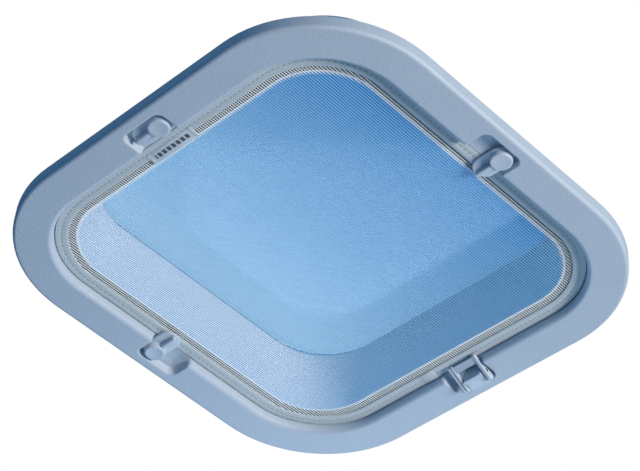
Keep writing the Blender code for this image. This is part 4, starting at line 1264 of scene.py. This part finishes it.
@dataclass
class DeckFrame:
    """The frame on the deck with its seals, liner and screws."""

    spigot_half: float = 0.1304
    spigot_radius: float = 0.048
    spigot_depth: float = 0.010
    flange_half: float = 0.1473
    flange_radius: float = 0.084
    flange_low: float = 0.0015
    flange_top: float = 0.0060
    upstand_top: float = 0.0075
    liner_wall: float = 0.0020
    liner_flange: float = 0.0062
    liner_bead: float = -0.0321
    bead_outer: float = 0.1283
    gasket: Point = (0.1249, 0.1297)
    gasket_height: float = 0.0032
    gasket_round: float = 0.0010
    seal_height: float = 0.0012
    flange_edge: float = 0.0015
    liner_foot: float = 0.0015
    liner_edge: float = 0.0004
    screw_head: float = 0.0036
    screw_shank: float = 0.0020
    screw_rim: float = 0.0004
    slot_turn: float = 0.3

    def frame_section(self) -> Section:
        """Return the lines of the frame's section."""
        gap = self.liner_wall + 2 * PORT.gap
        lines: Section = [
            PORT.well(-self.spigot_depth, gap),
            (self.spigot_half, self.spigot_radius, -self.spigot_depth),
            (self.spigot_half, self.spigot_radius, self.flange_low),
            (self.flange_half, self.flange_radius, self.flange_low),
        ]
        edge = self.flange_edge
        centre = (self.flange_half - edge, self.flange_top - edge)
        for half, height in Shape.arc(centre, edge, 0.0, 90.0, 6):
            lines.append((half, self.flange_radius + half - self.flange_half, height))
        foot = 0.0010
        centre = (self.spigot_half + foot, self.flange_top + foot)
        for half, height in Shape.arc(centre, foot, 270.0, 180.0, 5):
            lines.append((half, self.spigot_radius + half - self.spigot_half, height))
        nick = 0.0002
        lines.append((self.spigot_half, self.spigot_radius, self.upstand_top - nick))
        lines.append((self.spigot_half - nick, self.spigot_radius - nick, self.upstand_top))
        lines.append(PORT.well(self.upstand_top, gap))
        return lines

    def build(self) -> None:
        """Build the frame, seals, liner and deck screws."""
        ring = Shape.ring(self.frame_section(), CORNER_STEPS)
        Piece.add("deck_frame", ring, "aluminium", Body.BASE, Slot.ALUMINIUM, ["base_frame"], 38.0)
        inner = (self.spigot_half + 2 * PORT.gap, self.spigot_radius + 2 * PORT.gap)
        outer = (self.flange_half - self.flange_edge, self.flange_radius - self.flange_edge)
        top = self.seal_height
        seal = Shape.ring([(*inner, 0.0), (*outer, 0.0), (*outer, top), (*inner, top)], CORNER_STEPS)
        Piece.add("bedding_strip", seal, "rubber", Body.BASE, Slot.RUBBER, ["bedding_seal"])
        low = self.upstand_top + PORT.gap
        high = low + self.gasket_height
        first, last = self.gasket
        bulb = [
            (first, low),
            (last, low),
            (last, high - 0.0008),
            (last - self.gasket_round, high - 0.0002),
            ((first + last) / 2, high),
            (first + self.gasket_round, high - 0.0002),
            (first, high - 0.0008),
        ]
        gasket = Shape.ring(PORT.lid_squares(bulb), CORNER_STEPS)
        Piece.add("lid_gasket", gasket, "rubber", Body.BASE, Slot.RUBBER, ["lens_gasket"])
        self.build_liner(high)
        for number in range(1, 9):
            self.build_screw(number)

    def build_liner(self, top: float) -> None:
        """Build the liner with softened ends."""
        low = PORT.ceiling + PORT.gap
        step = low + self.liner_foot
        edge = self.liner_edge
        half, bead, flange = PORT.opening_half, self.liner_bead, self.liner_wall + self.liner_flange
        section: Section = [
            *PORT.squares([(half, bead + edge), (half + edge, bead)]),
            *PORT.squares([(self.bead_outer, bead), (self.bead_outer, low)]),
            PORT.well(low, flange),
            PORT.well(step, flange),
            PORT.well(step, self.liner_wall),
            PORT.well(top, self.liner_wall),
            PORT.well(top, edge),
            PORT.well(top - edge * 0.3, edge * 0.3),
            PORT.well(top - edge, 0.0),
        ]
        for share in (0.75, 0.5, 0.25):
            section.append(PORT.well(low + (top - low) * share, 0.0))
        section.append(PORT.well(low, 0.0))
        liner = Shape.ring(section, CORNER_STEPS)
        Piece.add("well_liner", liner, "liner", Body.BASE, Slot.LINER, ["liner_sleeve"], 38.0)

    def build_screw(self, number: int) -> None:
        """Build a deck screw with a domed head and a cross recess."""
        node = f"deck_screw_{number}"
        low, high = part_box(node)
        centre = (low + high) / 2
        seat = self.flange_top + PORT.gap
        top, thick, head = seat - low.z, self.screw_shank, self.screw_head
        profile: list[Point] = [(0.0, 0.0), (thick / 2, 0.0), (thick, 0.0030), (thick, top), (head, top)]
        rise = high.z - seat - self.screw_rim
        for step in range(1, 7):
            angle = math.pi / 2 * step / 6
            radius = head * math.cos(angle) ** 0.8 if step < 6 else 0.0
            profile.append((radius, top + self.screw_rim + rise * math.sin(angle)))
        body = Shape.spun(profile, 28)
        Shape.placed(body, Matrix.Translation((centre.x, centre.y, low.z)))
        slots = []
        place = Matrix.Translation((centre.x, centre.y, high.z - 0.0011))
        for turn in (self.slot_turn, self.slot_turn + math.pi / 2):
            slot = Shape.plate(Shape.capsule(-0.0019, 0.0019, 0.00042, 3), 0.0, 0.004, 0.0)
            slots.append(Shape.placed(slot, place @ Matrix.Rotation(turn + number, 4, "Z")))
        cut = Shape.fused(body, *slots, cut=True)
        Piece.add(f"flange_screw_{number}", cut, "steel", Body.BASE, Slot.STEEL, [node], 38.0)


@dataclass
class Lid:
    """The lid: lens, bond and aluminium rim."""

    bond: Point = (0.1265, 0.1271)
    rim_inner: float = 0.1274
    rim_half: float = 0.1300
    ledge: float = 0.0045
    ledge_top: float = 0.0137
    edge: float = 0.0020
    lens_edge: float = 0.0010
    lens_chamfer: float = 0.0006
    rim_low_edge: float = 0.0004
    rim_top_edge: float = 0.0002
    spindle: Point = (0.065, -0.111)
    spindle_bore: float = 0.0035

    def build(self) -> None:
        """Build the lens, bond, rim and handle seals."""
        low, top = PORT.lens_low, PORT.lens_top
        half, edge, chamfer = PORT.lens_half, self.lens_edge, self.lens_chamfer
        lens: list[Point] = [(half - chamfer, low), (half, low + chamfer), (half, top - edge)]
        lens += Shape.arc((half - edge, top - edge), edge, 20.0, 90.0, 5)
        slab = Shape.slab(PORT.lid_squares(lens), CORNER_STEPS)
        posts = []
        start, end, wide = low - 0.005, top + 0.005, self.spindle_bore
        for side in (-1, 1):
            post = Shape.spun([(0.0, start), (wide, start), (wide, end), (0.0, end)], 32)
            place = Matrix.Translation((side * self.spindle[0], self.spindle[1], 0.0))
            posts.append(Shape.placed(post, place))
        slab = Shape.fused(slab, *posts, cut=True)
        Piece.add("tinted_lens", slab, "acrylic", Body.LID, Slot.ACRYLIC, ["lens"], 38.0)
        inner, outer = self.bond
        crown = [(inner, low), (outer, low), (outer, top - 0.0001)]
        crown += [((inner + outer) / 2, top), (inner, top - 0.0001)]
        strip = Shape.ring(PORT.lid_squares(crown), CORNER_STEPS)
        Piece.add("lens_sealant", strip, "rubber", Body.LID, Slot.RUBBER, ["lens_bond"])
        inner, outer, ledge = self.rim_inner, self.rim_half, self.rim_inner - self.ledge
        low_edge, top_edge = self.rim_low_edge, self.rim_top_edge
        profile = [(ledge, PORT.lid_low), (outer - low_edge, PORT.lid_low), (outer, PORT.lid_low + low_edge)]
        profile += Shape.arc((outer - self.edge, top - self.edge), self.edge, 0.0, 90.0, 7)
        profile += [(inner + top_edge, top), (inner, top - top_edge)]
        profile += [(inner, self.ledge_top), (ledge, self.ledge_top)]
        rim = Shape.ring(PORT.lid_squares(profile), CORNER_STEPS)
        Piece.add("lid_rim", rim, "aluminium", Body.LID, Slot.ALUMINIUM, ["lid_frame"], 38.0)
        for side in ("left", "right"):
            Piece.refine(f"handle_seal_{side}", "rubber", Body.LID, Slot.RUBBER, 0.0003)
            Piece.refine(f"hinge_arm_{side}", "aluminium", Body.LID, Slot.ALUMINIUM, 0.0006)


@dataclass
class Hardware:
    """The hinges' fixed parts, the handles and their keepers."""

    def build(self) -> None:
        """Refine each piece of hardware."""
        for side, body in (("left", Body.HANDLE_LEFT), ("right", Body.HANDLE_RIGHT)):
            Piece.refine(f"hinge_base_{side}", "aluminium", Body.BASE, Slot.ALUMINIUM, 0.0006)
            Piece.refine(f"hinge_pin_{side}", "steel", Body.BASE, Slot.STEEL, 0.0003)
            Piece.refine(f"keeper_{side}", "steel", Body.BASE, Slot.STEEL, 0.0003)
            Piece.refine(f"handle_lever_{side}", "black", body, Slot.BLACK, 0.0008)
            Piece.refine(f"handle_spindle_{side}", "steel", body, Slot.STEEL, 0.0004)


@dataclass
class Studio:
    """Camera, lights, world and floor."""

    camera_place: tuple[float, float, float] = (-0.7022, -0.7777, -1.0256)
    camera_lens: float = 122.44
    key_direction: tuple[float, float, float] = (0.15, -0.89, -0.39)
    camera_right: tuple[float, float, float] = (0.69328, -0.71716, 0.07103)
    camera_up: tuple[float, float, float] = (-0.53586, -0.44708, 0.71623)
    camera_back: tuple[float, float, float] = (-0.48189, -0.53461, -0.69425)
    key_distance: float = 2.2
    floor_height: float = -2.7
    floor_half: float = 9.0

    def build(self) -> None:
        """Set up everything round the port."""
        self.build_camera()
        self.build_world()
        self.build_floor()
        key = Vector(self.key_direction).normalized() * self.key_distance
        self.build_light("key", key, 0.7, 43.0, (1.0, 0.99, 0.95))
        self.build_light("glow", Vector((0.45, 0.40, -0.40)), 0.4, 1.8, (0.60, 0.80, 1.0))
        self.build_light("sky", Vector((-0.5, 0.6, 2.2)), 2.0, 10.0, (0.80, 0.90, 1.0))

    def build_camera(self) -> None:
        """Make the camera that looks up at the port from inside."""
        data = bpy.data.cameras.new("camera")
        data.lens = self.camera_lens
        data.sensor_width = 36.0
        data.clip_start, data.clip_end = 0.01, 50.0
        item = bpy.data.objects.new("camera", data)
        bpy.context.scene.collection.objects.link(item)
        turn = Matrix((self.camera_right, self.camera_up, self.camera_back)).transposed().to_4x4()
        item.matrix_world = Matrix.Translation(self.camera_place) @ turn
        bpy.context.scene.camera = item

    def build_light(self, name: str, place: Vector, size: float, power: float, colour: Colour) -> None:
        """Make an area light that faces the port.

        Args:
            name: The light's name.
            place: Where it stands.
            size: Its side.
            power: Its power in watts.
            colour: Its colour.
        """
        data = bpy.data.lights.new(name, "AREA")
        data.size = size
        data.energy = power
        data.color = colour
        item = bpy.data.objects.new(name, data)
        item.location = place
        item.rotation_mode = "QUATERNION"
        item.rotation_quaternion = (-place).to_track_quat("-Z", "Y")
        bpy.context.scene.collection.objects.link(item)

    def build_world(self) -> None:
        """Make a soft world that the camera sees as white."""
        world = bpy.data.worlds.new("studio")
        bpy.context.scene.world = world
        world.use_nodes = True
        tree = world.node_tree
        tree.nodes.clear()

        def background(colour: Colour, strength: float) -> bpy.types.Node:
            """Add a plain background."""
            node = tree.nodes.new("ShaderNodeBackground")
            node.inputs[0].default_value = (*colour, 1.0)
            node.inputs[1].default_value = strength
            return node

        ambient = background((0.07, 0.42, 0.90), 0.28)
        shown = background((1.0, 1.0, 1.0), 1.0)
        through = background((0.88, 0.95, 1.0), 1.5)
        behind = tree.nodes.new("ShaderNodeMixShader")
        path = tree.nodes.new("ShaderNodeLightPath")
        mix = tree.nodes.new("ShaderNodeMixShader")
        output = tree.nodes.new("ShaderNodeOutputWorld")
        tree.links.new(path.outputs["Is Camera Ray"], mix.inputs[0])
        tree.links.new(path.outputs["Is Transmission Ray"], behind.inputs[0])
        tree.links.new(ambient.outputs[0], behind.inputs[1])
        tree.links.new(through.outputs[0], behind.inputs[2])
        tree.links.new(behind.outputs[0], mix.inputs[1])
        tree.links.new(shown.outputs[0], mix.inputs[2])
        tree.links.new(mix.outputs[0], output.inputs[0])
        bpy.context.scene.view_settings.view_transform = "Standard"

    def build_floor(self) -> None:
        """Make the plain pale floor."""
        bm = bmesh.new()
        bmesh.ops.create_grid(bm, x_segments=1, y_segments=1, size=self.floor_half)
        bmesh.ops.translate(bm, verts=bm.verts[:], vec=(0.0, 0.0, self.floor_height))
        data = bpy.data.meshes.new("floor")
        bm.to_mesh(data)
        bm.free()
        graph = Graph("pale_floor")
        graph.surface(Base_Color=(0.86, 0.87, 0.88, 1.0), Roughness=0.8)
        data.materials.append(graph.material)
        item = bpy.data.objects.new("floor", data)
        bpy.context.scene.collection.objects.link(item)


def main() -> None:
    """Build every sub-assembly in order and report the pieces."""
    logging.basicConfig(level=logging.INFO, format="%(name)s %(message)s")
    builders: list[tuple[str, Callable[[], None]]] = [
        ("trim", Trim().build),
        ("insect screen", InsectScreen().build),
        ("near catch", Catch("near", Body.CATCH_NEAR, 0.0, 90.0).build),
        ("left catch", Catch("left", Body.CATCH_LEFT, -90.0, 90.0).build),
        ("far catch", Catch("far", Body.CATCH_FAR, 180.0, -90.0).build),
        ("rocking clip", RockingClip().build),
        ("deck frame", DeckFrame().build),
        ("lid", Lid().build),
        ("hardware", Hardware().build),
        ("studio", Studio().build),
    ]
    for name, build in builders:
        build()
        LOG.info("built the %s", name)


if __name__ == "__main__":
    main()
